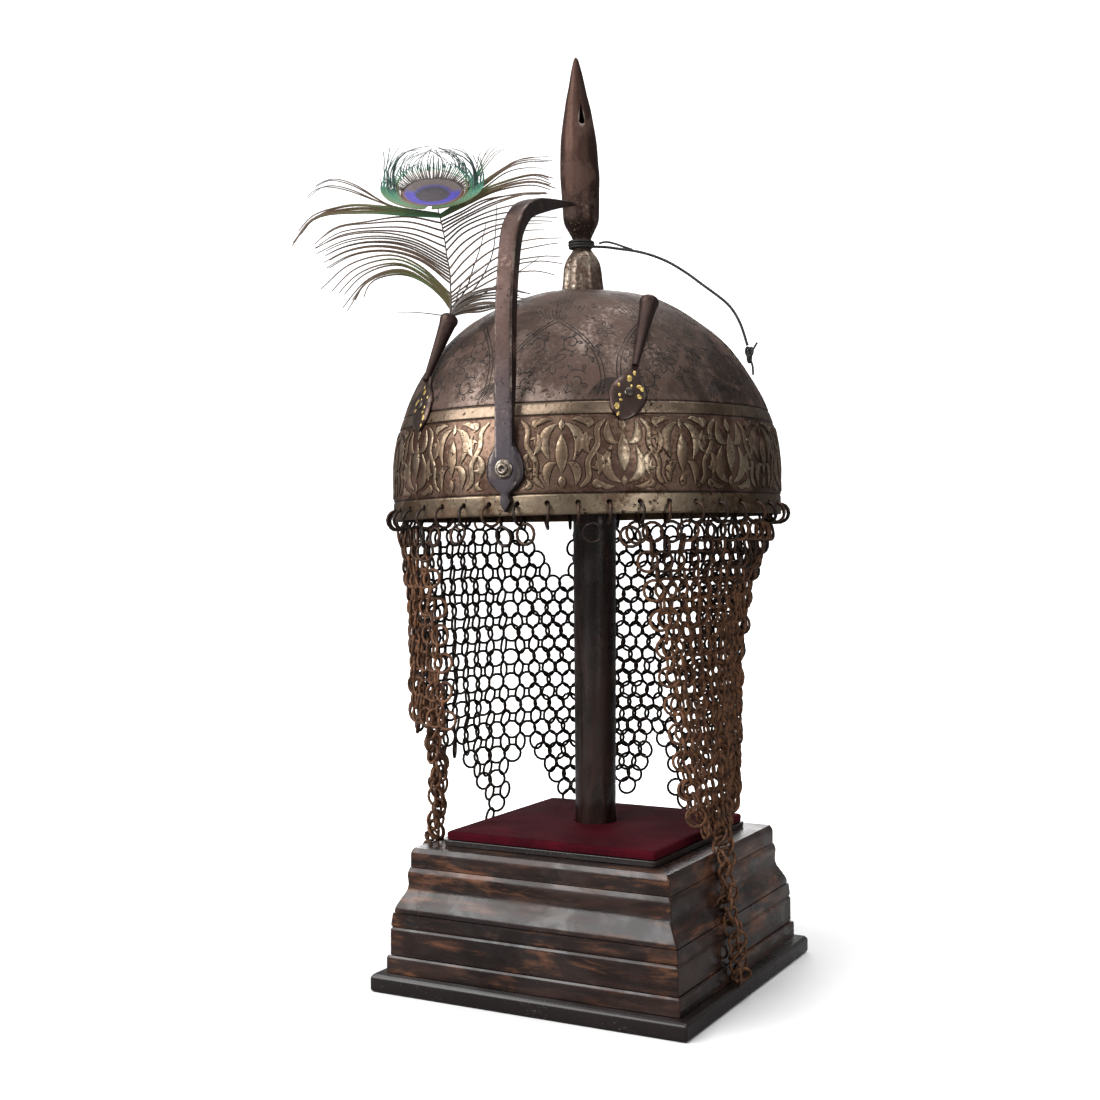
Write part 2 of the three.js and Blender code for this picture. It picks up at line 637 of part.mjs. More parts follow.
// A strip through rows of a place, a width and a thickness, with the flat side turned to face one way.
function ribbon(rows, face, sides) {
  const positions = [];
  rows.forEach((row, i) => {
    const before = rows[Math.max(0, i - 1)].place;
    const after = rows[Math.min(rows.length - 1, i + 1)].place;
    const run = after.clone().sub(before).normalize();
    const across = new THREE.Vector3().crossVectors(run, face).normalize();
    const through = new THREE.Vector3().crossVectors(across, run);
    for (let k = 0; k < sides; k++) {
      const turn = (2 * Math.PI * k) / sides;
      const corner = row.place
        .clone()
        .addScaledVector(across, (row.width / 2) * Math.cos(turn))
        .addScaledVector(through, (row.thick / 2) * Math.sin(turn));
      positions.push(...corner.toArray());
    }
  });
  const faces = [];
  for (let i = 0; i + 1 < rows.length; i++) {
    for (let k = 0; k < sides; k++) {
      const a = i * sides + k;
      const b = i * sides + ((k + 1) % sides);
      faces.push(a, b, b + sides, a, b + sides, a + sides);
    }
  }
  const last = (rows.length - 1) * sides;
  for (let k = 1; k + 1 < sides; k++) {
    faces.push(0, k + 1, k);
    faces.push(last, last + k, last + k + 1);
  }
  return new THREE.BufferGeometry()
    .setAttribute("position", new THREE.Float32BufferAttribute(positions, 3))
    .setIndex(faces);
}

// A value of the mail's column table between two columns.
function columnValue(u, read) {
  const low = Math.min(Math.floor(Math.max(u, 0)), MAIL_COLUMNS.length - 2);
  return THREE.MathUtils.lerp(read(MAIL_COLUMNS[low], low), read(MAIL_COLUMNS[low + 1], low + 1), u - low);
}

// The height of the rim above a point of the mail's top edge.
function rimHeight(azimuth) {
  return around(azimuth, SKULL.radius, 0).applyMatrix4(helmet.matrix).z;
}

// A point of the mail curtain. Rows run from 0 under the top band to MAIL.rows at the tips of the dagged foot;
// the odd columns reach their notch one row sooner.
function onMail(u, v, outside) {
  const fall = Math.max(0, v) / MAIL.rows;
  const azimuth = columnValue(u, ({ top, foot }) => top + (foot - top) * fall ** MAIL.spread) + HELMET.turn;
  const top = rimHeight(azimuth - HELMET.turn) - MAIL.drop - MAIL.band;
  const z =
    v < 0
      ? top - v * MAIL.band
      : columnValue(u, (column, i) => top - ((top - column.z) * v) / (MAIL.rows - (i % 2)));
  const settled = 1 - Math.exp(-(HELMET.z - z) / MAIL.settle);
  const inset = columnValue(u, (column) => column.inset);
  const fold = columnValue(u, (column) => column.fold);
  const side = outside ? MAIL.thick / 2 : -MAIL.thick / 2;
  const out = MAIL.radius - inset * settled + fold * fall + side;
  return around(azimuth, out, z).add(new THREE.Vector3(HELMET.x, HELMET.y, 0));
}

const turnedTo = (back, polygon) => (back ? [...polygon].reverse() : polygon);

// The mail as a net of bars that cross at every second corner of the lattice, under a plain band.
function mailNet() {
  const polygons = [];
  const last = MAIL_COLUMNS.length - 1;
  const crossing = (i, j) => (i + j) % 2 === 0;
  const torn = (i, j) => i === MAIL_TEAR.column && j < MAIL_TEAR.rows;
  for (let i = 0; i < last; i++) {
    for (let j = 0; j < MAIL.rows; j++) {
      if (torn(i, j)) continue;
      // The bar runs from the crossing corner to the one opposite; a mirrored cell is turned back to face out.
      const flip = crossing(i, j) ? 0 : 1;
      const corner = (x, y) => [i + (flip ? 1 - x : x), j + y];
      const { along, up } = MAIL_BAR;
      const bar = [
        corner(0, 0),
        corner(0, up),
        corner(1 - along, 1),
        corner(1, 1),
        corner(1, 1 - up),
        corner(along, 0),
      ];
      polygons.push(flip ? bar.reverse() : bar);
    }
    if (torn(i, 0)) continue;
    const step = crossing(i, 0) ? MAIL_BAR.along : 1 - MAIL_BAR.along;
    polygons.push([[i, -1], [i, 0], [i + step, 0], [i + 1, 0], [i + 1, -1]]);
  }
  for (const [edge, outer] of [
    [0, -MAIL_EDGE],
    [last, last + MAIL_EDGE],
  ]) {
    const right = edge === 0 ? 0 : 1;
    polygons.push(turnedTo(right, [[outer, -1], [outer, 0], [edge, 0], [edge, -1]]));
    for (let j = 0; j < MAIL.rows; j++) {
      const step = crossing(edge, j) ? MAIL_BAR.up : 1 - MAIL_BAR.up;
      polygons.push(turnedTo(right, [[outer, j], [outer, j + 1], [edge, j + 1], [edge, j + step], [edge, j]]));
    }
  }
  return thickSheet(polygons, onMail);
}

// A ring through one hole of the rim.
function rimRing(index) {
  const azimuth = ((index + 0.5) * 360) / RIM_HOLES.count;
  const ring = new THREE.TorusGeometry(RIM_RING.radius, RIM_RING.wire, RIM_RING.sides, RIM_RING.segments);
  const middle = around(azimuth, RIM_RING.out, RIM_RING.z);
  ring.rotateX(Math.PI / 2).rotateZ((azimuth - 90) * DEG).translate(middle.x, middle.y, middle.z);
  return solidOf(ring.applyMatrix4(helmet.matrix));
}

// A tail of gathered rings that hangs past the stand.
function mailTail(rows, face) {
  const placed = rows.map(({ x, y, z, width, thick }) => ({ place: new THREE.Vector3(x, y, z), width, thick }));
  return solidOf(ribbon(placed, around(face, 1, 0), TAIL_SIDES));
}

function makeAventail() {
  const tails = [mailTail(RIGHT_TAIL, RIGHT_TAIL_FACE), mailTail(LEFT_TAIL, LEFT_TAIL_FACE)];
  return joined([solidOf(mailNet()), ...HUNG_RINGS.map(rimRing), ...tails]);
}

// The single row of mail over the face, with an opening under each pair of rings.
function makeFrontRow() {
  const polygons = [];
  const pitch = (FRONT_ROW.to - FRONT_ROW.from) / FRONT_ROW.windows;
  const columns = [FRONT_ROW.from];
  for (let i = 0; i < FRONT_ROW.windows; i++) {
    columns.push(FRONT_ROW.from + i * pitch + FRONT_ROW.bar);
    columns.push(FRONT_ROW.from + (i + 1) * pitch);
  }
  columns.push(FRONT_ROW.to + FRONT_ROW.bar);
  const { rows, drawIn } = FRONT_ROW;
  for (let i = 0; i + 1 < columns.length; i++) {
    for (let j = 0; j + 1 < rows.length; j++) {
      if (i % 2 === 1 && j === 1) continue;
      const [a, b, low, high] = [columns[i], columns[i + 1], rows[j], rows[j + 1]];
      polygons.push([[a, low], [a, high], [b, high], [b, low]]);
    }
  }
  const row = thickSheet(polygons, (angle, down, outside) => {
    const out = MAIL.radius + (outside ? MAIL.thick / 2 : -MAIL.thick / 2) - drawIn * down;
    const top = rimHeight(angle) - MAIL.drop;
    return around(angle + HELMET.turn, out, top - down).add(new THREE.Vector3(HELMET.x, HELMET.y, 0));
  });
  return joined([solidOf(row), ...FRONT_RINGS.map(rimRing)]);
}

const onCordPlane = ({ out, z }) =>
  around(CORD.azimuth, out, z).add(new THREE.Vector3(HELMET.x, HELMET.y, 0));

function makeCord() {
  const section = new THREE.Shape();
  for (let k = 0; k < CORD.sides; k++) {
    const turn = (2 * Math.PI * k) / CORD.sides;
    const corner = [(CORD.diameter / 2) * Math.cos(turn), (CORD.diameter / 2) * Math.sin(turn)];
    if (k === 0) section.moveTo(...corner);
    else section.lineTo(...corner);
  }
  const route = new THREE.CatmullRomCurve3(CORD_ROUTE.map(onCordPlane));
  return solidOf(new THREE.ExtrudeGeometry(section, { steps: CORD.steps, extrudePath: route }));
}

function makeKnot() {
  const middle = onCordPlane(KNOT);
  const ball = new THREE.SphereGeometry(KNOT.radius, KNOT.around, KNOT.up).translate(middle.x, middle.y, middle.z);
  const face = around(CORD.azimuth + 90, 1, 0);
  const tails = KNOT_TAILS.map((points) => {
    const rows = points.map((point) => ({
      place: onCordPlane(point),
      width: CORD.diameter,
      thick: CORD.diameter,
    }));
    return solidOf(ribbon(rows, face, KNOT_TAIL_SIDES));
  });
  return joined([solidOf(ball), ...tails]);
}

// The feather's frame: across to the right of its front, up, and back away from it.
function featherFrame() {
  const { mouth, direction } = socketAxis(-1);
  const root = mouth.applyMatrix4(helmet.matrix);
  const across = around(FEATHER_FACE + 90, 1, 0);
  const back = around(FEATHER_FACE + 180, 1, 0);
  const at = (u, w, b) => root.clone().addScaledVector(across, u).addScaledVector(back, b).setZ(root.z + w);
  return { root, across, back, at, axis: direction.transformDirection(helmet.matrix) };
}

// Where the quill's middle line is at a height.
function quillAcross(up) {
  const above = Math.max(1, QUILL.findIndex((row) => row.up >= up));
  const [low, high] = [QUILL[above - 1], QUILL[above]];
  return THREE.MathUtils.mapLinear(up, low.up, high.up, low.across, high.across);
}

function makeQuill({ root, back, at, axis }) {
  const inside = [QUILL_DEPTH, QUILL_DEPTH / 2, 0].map((depth) => ({
    place: root.clone().addScaledVector(axis, -depth),
    width: QUILL[0].width,
    thick: QUILL[0].width,
  }));
  const above = QUILL.map(({ across, up, width }) => ({ place: at(across, up, 0), width, thick: width }));
  return solidOf(ribbon([...inside, ...above], back, QUILL_SIDES));
}

// A barb bundle leaves the quill, bends once and droops to its tip.
function makeBarb({ back, at }, barb) {
  const curve = new THREE.QuadraticBezierCurve3(
    at(quillAcross(barb.from), barb.from, 0),
    at(barb.bendAcross, barb.bendUp, barb.back * FEATHER_BARB.bendBack),
    at(barb.tipAcross, barb.tipUp, barb.back),
  );
  const rows = curve.getPoints(FEATHER_BARB.steps).map((place, i) => {
    const taper = 1 - FEATHER_BARB.taper * (i / FEATHER_BARB.steps) ** 2;
    return { place, width: FEATHER_BARB.width * taper, thick: FEATHER_BARB.thick };
  });
  return solidOf(ribbon(rows, back, FEATHER_BARB.sides));
}

function makeFeather() {
  const frame = featherFrame();
  const tilt = new THREE.Vector3(0, 0, 1).multiplyScalar(Math.cos(EYE.tilt * DEG));
  tilt.addScaledVector(frame.back, -Math.sin(EYE.tilt * DEG));
  const eye = aimed(turned(EYE_OUTLINE, EYE.sides), frame.at(EYE.across, EYE.up, 0), tilt);
  const barbs = BARBS.map((barb) => makeBarb(frame, barb));
  return joined([makeQuill(frame), solidOf(eye), ...barbs]);
}

const group = new THREE.Group();
const helmet = new THREE.Group();
helmet.position.set(HELMET.x, HELMET.y, HELMET.z);
helmet.rotation.set(HELMET.pitch * DEG, HELMET.roll * DEG, HELMET.turn * DEG);
helmet.updateMatrix();

group.add(
  named("base_plate", solidOf(squareStack(BASE_PLATE)), FINISH.lacquer),
  named("plinth_foot", solidOf(squareStack(PLINTH_FOOT)), FINISH.walnut),
  named("plinth_board", solidOf(squareStack(PLINTH_BOARD)), FINISH.walnut),
  named("plinth_ogee", solidOf(squareStack(PLINTH_OGEE)), FINISH.walnut),
  named("plinth_cap", solidOf(squareStack(PLINTH_CAP)), FINISH.walnut),
  named("pad_board", solidOf(boardRoundPost(PAD_BOARD)), FINISH.lacquer),
  named("velvet_pad", solidOf(boardRoundPost(VELVET_PAD)), FINISH.velvet),
  named("mail_aventail", makeAventail(), FINISH.mail),
  named("mail_front_row", makeFrontRow(), FINISH.mail),
  named("cord", makeCord(), FINISH.cord),
  named("cord_knot", makeKnot(), FINISH.cord),
  named("feather", makeFeather(), FINISH.feather),
);
const post = named("post", solidOf(turned(POST_OUTLINE, POST.sides)), FINISH.walnut);
post.position.set(POST.x, POST.y, 0);
group.add(post);

const nasal = new THREE.Group();
nasal.rotation.z = NASAL_TURN * DEG;
nasal.add(named("nasal_bar", makeNasal(), FINISH.brownSteel), named("nasal_bolt", makeBolt(), FINISH.boltHead));

const spike = new THREE.Group();
spike.position.z = SPIKE_LEAN.z;
spike.rotation.set(SPIKE_LEAN.pitch * DEG, SPIKE_LEAN.roll * DEG, 0);
spike.add(
  named("spike", makeSpike(), FINISH.rustySpike),
  named("cord_wrap", solidOf(turned([...CORD_WRAP, CORD_WRAP[0]], WRAP_SIDES)), FINISH.cord),
);

helmet.add(
  named("skull", makeSkull(), FINISH.greySteel),
  named("finial_base", makeCollar(), FINISH.greySteel),
  named("plume_socket_left", makeSocket(-1), FINISH.brownSteel),
  named("plume_socket_right", makeSocket(1), FINISH.brownSteel),
  named("socket_rivet_left", makeRivet(-1), FINISH.boltHead),
  named("socket_rivet_right", makeRivet(1), FINISH.boltHead),
  nasal,
  spike,
);
group.add(helmet);

export default group;
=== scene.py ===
import math
import random

import bmesh
import bpy
import numpy as np
from mathutils import Matrix, Vector, noise


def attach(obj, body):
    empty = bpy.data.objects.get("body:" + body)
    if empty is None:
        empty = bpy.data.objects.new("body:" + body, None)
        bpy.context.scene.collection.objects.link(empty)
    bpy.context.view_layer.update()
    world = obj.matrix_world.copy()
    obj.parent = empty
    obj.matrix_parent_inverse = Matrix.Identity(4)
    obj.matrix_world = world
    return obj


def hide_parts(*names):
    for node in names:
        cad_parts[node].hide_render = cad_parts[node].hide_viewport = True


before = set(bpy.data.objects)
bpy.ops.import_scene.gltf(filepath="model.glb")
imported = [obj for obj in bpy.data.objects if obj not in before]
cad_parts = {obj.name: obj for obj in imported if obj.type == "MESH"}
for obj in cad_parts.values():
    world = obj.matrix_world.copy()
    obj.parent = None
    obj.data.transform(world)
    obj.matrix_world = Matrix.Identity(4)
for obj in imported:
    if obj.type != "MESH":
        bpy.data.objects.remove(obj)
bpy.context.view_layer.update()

# The looks of a kulah khud on its display stand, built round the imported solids.
# Shapes are worked out in millimetres and written in metres; azimuths are degrees round from -Y towards +X.
MM = 0.001
BODY = "root"

# The helmet's own frame, the spike's frame on its crown, and the nasal's small turn.
HELMET_SEAT = {"x": -7.4, "y": 3, "z": 234.4, "pitch": 0.4, "roll": -0.81, "turn": 3.7}
HELMET_AXIS = (HELMET_SEAT["x"], HELMET_SEAT["y"], 0)
SPIKE_SEAT = {"x": 0, "y": 0, "z": 139.5, "pitch": 0.3, "roll": -0.74, "turn": 0}
NASAL_TURN = 1.2

SKULL_RADIUS = 100
SKULL_HEIGHT = 117.5
SKULL_WALL = 1.6
STRAIGHT_SIDE = 22
ROUND_POWER = 2.25
RISE_POWER = 1.83
CROWN_ANGLE = 87.5
SKULL_COLUMNS = 528
RIM_HOLES = {"count": 44, "z": 5.5, "radius": 1.3}
GROOVES = {"border": 9.7, "band": 46, "strip": 52.2}
COLLAR_ZONE = 200
CUT_SHARP = 50
THIN_SHARP = 80
GROOVE_WIDTH = 0.4
GROOVE_DEPTH = 0.4
BAND_MIDDLE = 28
BAND_UNITS = 22


def frame_matrix(x, y, z, pitch, roll, turn):
    """A frame turned about X, then Y, then Z of its own, at a place in millimetres."""
    turned_to = Matrix.Rotation(math.radians(pitch), 4, "X") @ Matrix.Rotation(math.radians(roll), 4, "Y")
    turned_to = turned_to @ Matrix.Rotation(math.radians(turn), 4, "Z")
    return np.array(Matrix.Translation((x, y, z)) @ turned_to)


HELMET = frame_matrix(**HELMET_SEAT)
SPIKE = HELMET @ frame_matrix(**SPIKE_SEAT)
NASAL = HELMET @ frame_matrix(0, 0, 0, 0, 0, NASAL_TURN)


def seated(points, matrix):
    """Points of a frame in the world."""
    return np.asarray(points) @ matrix[:3, :3].T + matrix[:3, 3]


def unseated(points, matrix):
    """Points of the world in a frame."""
    return (np.asarray(points) - matrix[:3, 3]) @ matrix[:3, :3]


def around(azimuth, out, z):
    """The point at an azimuth, a distance out from the axis and a height."""
    turn = np.radians(azimuth)
    return np.stack(np.broadcast_arrays(out * np.sin(turn), -out * np.cos(turn), z), axis=-1)


def unit(vectors):
    """Vectors of length one."""
    vectors = np.asarray(vectors, float)
    return vectors / np.maximum(np.linalg.norm(vectors, axis=-1, keepdims=True), 1e-12)


# Lines and shapes


class Shape:
    """Points in millimetres, faces by point number, values at each point, and which finish it has."""

    def __init__(self, points, faces, values=None, finish=0):
        self.points = np.asarray(points, float).reshape(-1, 3)
        self.faces = faces
        self.values = values or {}
        self.finish = finish

    def seated(self, matrix):
        self.points = seated(self.points, matrix)
        return self

    def finished(self, finish, **values):
        self.finish = finish
        self.values.update(values)
        return self


def eased(points, radius, steps=3):
    """A line with rounded corners: each one becomes a short curve that starts radius before it."""
    points = [np.asarray(point, float) for point in points]
    line = [points[0]]
    for before, corner, after in zip(points, points[1:], points[2:]):
        ends = []
        for other in (before, after):
            side = np.linalg.norm(other - corner)
            ends.append(corner + (other - corner) * min(radius, side / 2) / side)
        for share in np.linspace(0, 1, steps + 1):
            line.append((1 - share) ** 2 * ends[0] + 2 * share * (1 - share) * corner + share**2 * ends[1])
    line.append(points[-1])
    return np.array(line)


def curve(points, steps=8):
    """A smooth line through its points, with so many steps between each two."""
    points = np.asarray(points, float)
    padded = np.vstack([2 * points[0] - points[1], points, 2 * points[-1] - points[-2]])
    share = (np.arange(steps) / steps)[:, None]
    line = []
    for a, b, c, d in zip(padded, padded[1:], padded[2:], padded[3:]):
        bend = (2 * a - 5 * b + 4 * c - d) * share**2 + (3 * b - a - 3 * c + d) * share**3
        line.append(0.5 * (2 * b + (c - a) * share + bend))
    line.append(points[-1:])
    return np.vstack(line)


def arc(start, bend, end, steps=12):
    """A curve from start to end that is drawn towards one bend."""
    share = np.linspace(0, 1, steps + 1)[:, None]
    start, bend, end = (np.asarray(point, float) for point in (start, bend, end))
    return (1 - share) ** 2 * start + 2 * share * (1 - share) * bend + share**2 * end


def spiral(middle, radius, start, turns, steps=20, inner=0.25):
    """A flat curl that closes in from a radius at a start angle."""
    share = np.linspace(0, 1, steps + 1)
    angle = np.radians(start) + share * turns * 2 * math.pi
    out = radius * (1 - (1 - inner) * share)
    return np.stack([middle[0] + out * np.cos(angle), middle[1] + out * np.sin(angle)], axis=-1)


def length_of(line):
    return np.linalg.norm(np.diff(line, axis=0), axis=1).sum()


def evenly(line, count):
    """A line's points set again at even distances."""
    line = np.asarray(line, float)
    run = np.concatenate([[0], np.cumsum(np.linalg.norm(np.diff(line, axis=0), axis=1))])
    at = np.linspace(0, run[-1], count)
    return np.stack([np.interp(at, run, line[:, k]) for k in range(line.shape[1])], axis=-1)


def grid(points, loops=False, closed=False, caps=False, **values):
    """Four-cornered faces between rows of points. loops joins each row's ends, closed joins the last row to
    the first, and caps shuts the first and last row."""
    rows, columns = points.shape[:2]
    numbers = np.arange(rows * columns).reshape(rows, columns)
    ends = [numbers[0][::-1].tolist(), numbers[-1].tolist()] if caps else []
    if loops:
        numbers = np.hstack([numbers, numbers[:, :1]])
    if closed:
        numbers = np.vstack([numbers, numbers[:1]])
    corners = [numbers[:-1, :-1], numbers[:-1, 1:], numbers[1:, 1:], numbers[1:, :-1]]
    faces = np.stack(corners, axis=-1).reshape(-1, 4).tolist()
    spread = {name: np.broadcast_to(value, (rows, columns)).reshape(-1) for name, value in values.items()}
    return Shape(points, faces + ends, spread)


def turned(outline, sides, lobes=0, depth=0.0):
    """An outline of radius and height turned round Z, with shallow lobes if it has any."""
    outline = np.asarray(outline, float)
    azimuth = np.arange(sides)[None, :] * 360 / sides
    radius = outline[:, :1] * (1 + depth * np.cos(np.radians(lobes * azimuth)))
    return grid(around(azimuth, radius, outline[:, 1:2]), loops=True, caps=True)


def tube(path, radius, sides=8, flat=1.0, facing=None, **values):
    """A closed tube along a path. flat is its thickness over its width, and facing is where its flat side
    looks."""
    path = np.asarray(path, float)
    run = unit(np.gradient(path, axis=0))
    if facing is None:
        through = [unit(np.cross(run[0], (0.31, 0.17, 0.93)))]
        for step in run[1:]:
            through.append(unit(through[-1] - step * np.dot(through[-1], step)))
        through = np.array(through)
    else:
        through = unit(facing - run * (run @ np.asarray(facing, float))[:, None])
    across = np.cross(run, through)
    turn = np.arange(sides) * 2 * math.pi / sides
    radius = np.broadcast_to(radius, len(path))[:, None, None]
    cosine, sine = np.cos(turn)[None, :, None], np.sin(turn)[None, :, None]
    ring = across[:, None] * cosine + through[:, None] * sine * flat
    spread = {name: np.broadcast_to(value, len(path))[:, None] for name, value in values.items()}
    return grid(path[:, None] + radius * ring, loops=True, caps=True, **spread)


def ring_shapes(middles, normals, radius, wire, sides=5, segments=14, **values):
    """Many wire rings as one shape: each has a middle, a normal, a mean radius and a value of its own."""
    middles, normals = np.asarray(middles, float), unit(normals)
    first = unit(np.cross(normals, (0.02, 0.01, 1)))
    second = np.cross(normals, first)
    count = len(middles)
    radius = np.broadcast_to(radius, count)[:, None, None, None]
    turn = (np.arange(segments) * 2 * math.pi / segments)[None, :, None, None]
    roll = (np.arange(sides) * 2 * math.pi / sides)[None, None, :, None]
    spoke = first[:, None, None] * np.cos(turn) + second[:, None, None] * np.sin(turn)
    points = middles[:, None, None] + (radius + wire * np.cos(roll)) * spoke
    points = points + wire * np.sin(roll) * normals[:, None, None]
    one = np.array(grid(np.zeros((segments, sides, 3)), loops=True, closed=True).faces)
    faces = (one[None] + (np.arange(count) * segments * sides)[:, None, None]).reshape(-1, 4).tolist()
    spread = {name: np.repeat(value, segments * sides) for name, value in values.items()}
    return Shape(points, faces, spread)


def mesh_of(name, shapes):
    """One mesh of all the shapes, with their values and finishes, its faces turned outwards."""
    start = 0
    points, faces, finishes = [], [], []
    for shape in shapes:
        points.append(shape.points)
        faces += [[number + start for number in face] for face in shape.faces]
        finishes += [shape.finish] * len(shape.faces)
        start += len(shape.points)
    mesh = bpy.data.meshes.new(name)
    mesh.from_pydata((np.vstack(points) * MM).tolist(), [], faces)
    mesh.polygons.foreach_set("material_index", finishes)
    for label in sorted({label for shape in shapes for label in shape.values}):
        values = [np.broadcast_to(shape.values.get(label, 0.0), len(shape.points)) for shape in shapes]
        attribute = mesh.attributes.new(label, "FLOAT", "POINT")
        attribute.data.foreach_set("value", np.concatenate(values).astype(np.float32))
    edited = bmesh.new()
    edited.from_mesh(mesh)
    bmesh.ops.recalc_face_normals(edited, faces=edited.faces)
    edited.to_mesh(mesh)
    edited.free()
    return mesh


def add_object(name, data):
    made = bpy.data.objects.new(name, data)
    bpy.context.collection.objects.link(made)
    return made


def smooth(made, sharp):
    """Smooth shading that keeps the edges of more than so many degrees sharp."""
    made.data.shade_smooth()
    made.data.set_sharp_from_angle(angle=math.radians(sharp))


def piece(name, shapes, finishes, slot, replaces=(), sharp=38):
    """One piece of the part: it rides on the body and stands for the nodes that it replaces."""
    made = add_object(name, mesh_of(name, shapes))
    for finish in finishes:
        made.data.materials.append(finish)
    smooth(made, sharp)
    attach(made, BODY)
    if replaces:
        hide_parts(*replaces)
    return made


def cut(made, cutter_shapes):
    """Cuts the cutters out of a piece."""
    cutter = add_object("cutter", mesh_of("cutter", cutter_shapes))
    modifier = made.modifiers.new("cut", "BOOLEAN")
    modifier.operation = "DIFFERENCE"
    modifier.solver = "MANIFOLD"
    modifier.object = cutter
    result = bpy.data.meshes.new_from_object(made.evaluated_get(bpy.context.evaluated_depsgraph_get()))
    made.modifiers.clear()
    made.data = result
    bpy.data.objects.remove(cutter)


def hammered(points, size, depth, seed):
    """How far each point stands off a true surface, in soft dents of one size."""
    return np.array([noise.noise(Vector(point) / size + Vector((seed, 0, 0))) for point in points]) * depth


# Nodes of the finishes


def srgb(red, green, blue):
    """A colour by its screen values from 0 to 255."""
    shares = [value / 255 for value in (red, green, blue)]
    return [s / 12.92 if s < 0.04045 else ((s + 0.055) / 1.055) ** 2.4 for s in shares] + [1]


def feed(tree, socket, value):
    if isinstance(value, bpy.types.NodeSocket):
        tree.links.new(value, socket)
    else:
        socket.default_value = value


def node(tree, kind, inputs=(), **settings):
    made = tree.nodes.new("ShaderNode" + kind)
    for name, value in settings.items():
        setattr(made, name, value)
    for socket, value in dict(inputs).items():
        feed(tree, made.inputs[socket], value)
    return made


def mix(tree, share, first, second, blend="MIX"):
    return node(tree, "Mix", {0: share, 6: first, 7: second}, data_type="RGBA", blend_type=blend).outputs[2]


def calc(tree, operation, first, second=0.0):
    return node(tree, "Math", {0: first, 1: second}, operation=operation).outputs[0]


def plus(tree, first, second):
    return calc(tree, "ADD", first, second)


def less(tree, first, second):
    return calc(tree, "SUBTRACT", first, second)


def times(tree, first, second):
    return calc(tree, "MULTIPLY", first, second)


def uneven(tree, value, cloudy, amount):
    """A value that is moved up and down by a noise from 0 to 1."""
    return plus(tree, value, times(tree, less(tree, cloudy, 0.5), amount))


def between(tree, value, low, high, to_low=0.0, to_high=1.0):
    """A soft step from to_low to to_high as a value goes from low to high."""
    inputs = {0: value, 1: low, 2: high, 3: to_low, 4: to_high}
    return node(tree, "MapRange", inputs, interpolation_type="SMOOTHSTEP").outputs[0]


def cloud(tree, place, scale, detail=4.0, rough=0.55, warp=0.0):
    """Noise from 0 to 1 over a place."""
    inputs = {"Vector": place, "Scale": scale, "Detail": detail, "Roughness": rough, "Distortion": warp}
    return node(tree, "TexNoise", inputs).outputs["Fac"]


def scaled(tree, place, scale):
    """A place that is drawn out or pressed together, for grain and streaks."""
    return node(tree, "Mapping", {"Vector": place, "Scale": scale}).outputs[0]


def distance_from(tree, place, point):
    """How far a place is from a point in metres."""
    return node(tree, "VectorMath", {0: place, 1: tuple(point)}, operation="DISTANCE").outputs["Value"]


def value_of(tree, name):
    return node(tree, "Attribute", attribute_name=name).outputs["Fac"]


def place_of(tree):
    return node(tree, "TexCoord").outputs["Object"]


def stops(tree, value, colours):
    """A colour that runs through a table of stops, each a share and a colour from 0 to 255."""
    made = node(tree, "ValToRGB", {0: value})
    while len(made.color_ramp.elements) < len(colours):
        made.color_ramp.elements.new(1.0)
    for element, (share, colour) in zip(made.color_ramp.elements, colours):
        element.position = share
        element.color = srgb(*colour)
    return made.outputs[0]


def new_group(name, inputs, outputs):
    """A group of nodes with named sockets. It gives the tree, what goes in and what comes out."""
    tree = bpy.data.node_groups.new(name, "ShaderNodeTree")
    for label, kind, value in inputs:
        socket = tree.interface.new_socket(label, in_out="INPUT", socket_type="NodeSocket" + kind)
        if value is not None:
            socket.default_value = value
    for label, kind in outputs:
        tree.interface.new_socket(label, in_out="OUTPUT", socket_type="NodeSocket" + kind)
    return tree, tree.nodes.new("NodeGroupInput").outputs, tree.nodes.new("NodeGroupOutput").inputs


def use(tree, group, inputs):
    made = tree.nodes.new("ShaderNodeGroup")
    made.node_tree = group
    for label, value in inputs.items():
        feed(tree, made.inputs[label], value)
    return made.outputs


def socket_name(label):
    return label.replace("_", " ").title().replace("Ior", "IOR")


def new_finish(name, **constants):
    """A material with one Principled shader whose constants are set on its own sockets."""
    finish = bpy.data.materials.new(name)
    finish.use_nodes = True
    tree = finish.node_tree
    tree.nodes.clear()
    shader = tree.nodes.new("ShaderNodeBsdfPrincipled")
    for label, value in constants.items():
        shader.inputs[socket_name(label)].default_value = value
    output = tree.nodes.new("ShaderNodeOutputMaterial")
    tree.links.new(shader.outputs[0], output.inputs[0])
    return finish, tree, shader


def look(tree, sockets, **values):
    """Feeds sockets that are named by their label, such as base_color."""
    for label, value in values.items():
        feed(tree, sockets[socket_name(label)], value)


def bump(tree, shader, height, strength, distance):
    """Gives the shader a normal from a height, over a distance in millimetres."""
    inputs = {"Height": height, "Strength": strength, "Distance": distance * MM}
    tree.links.new(node(tree, "Bump", inputs).outputs[0], shader.inputs["Normal"])


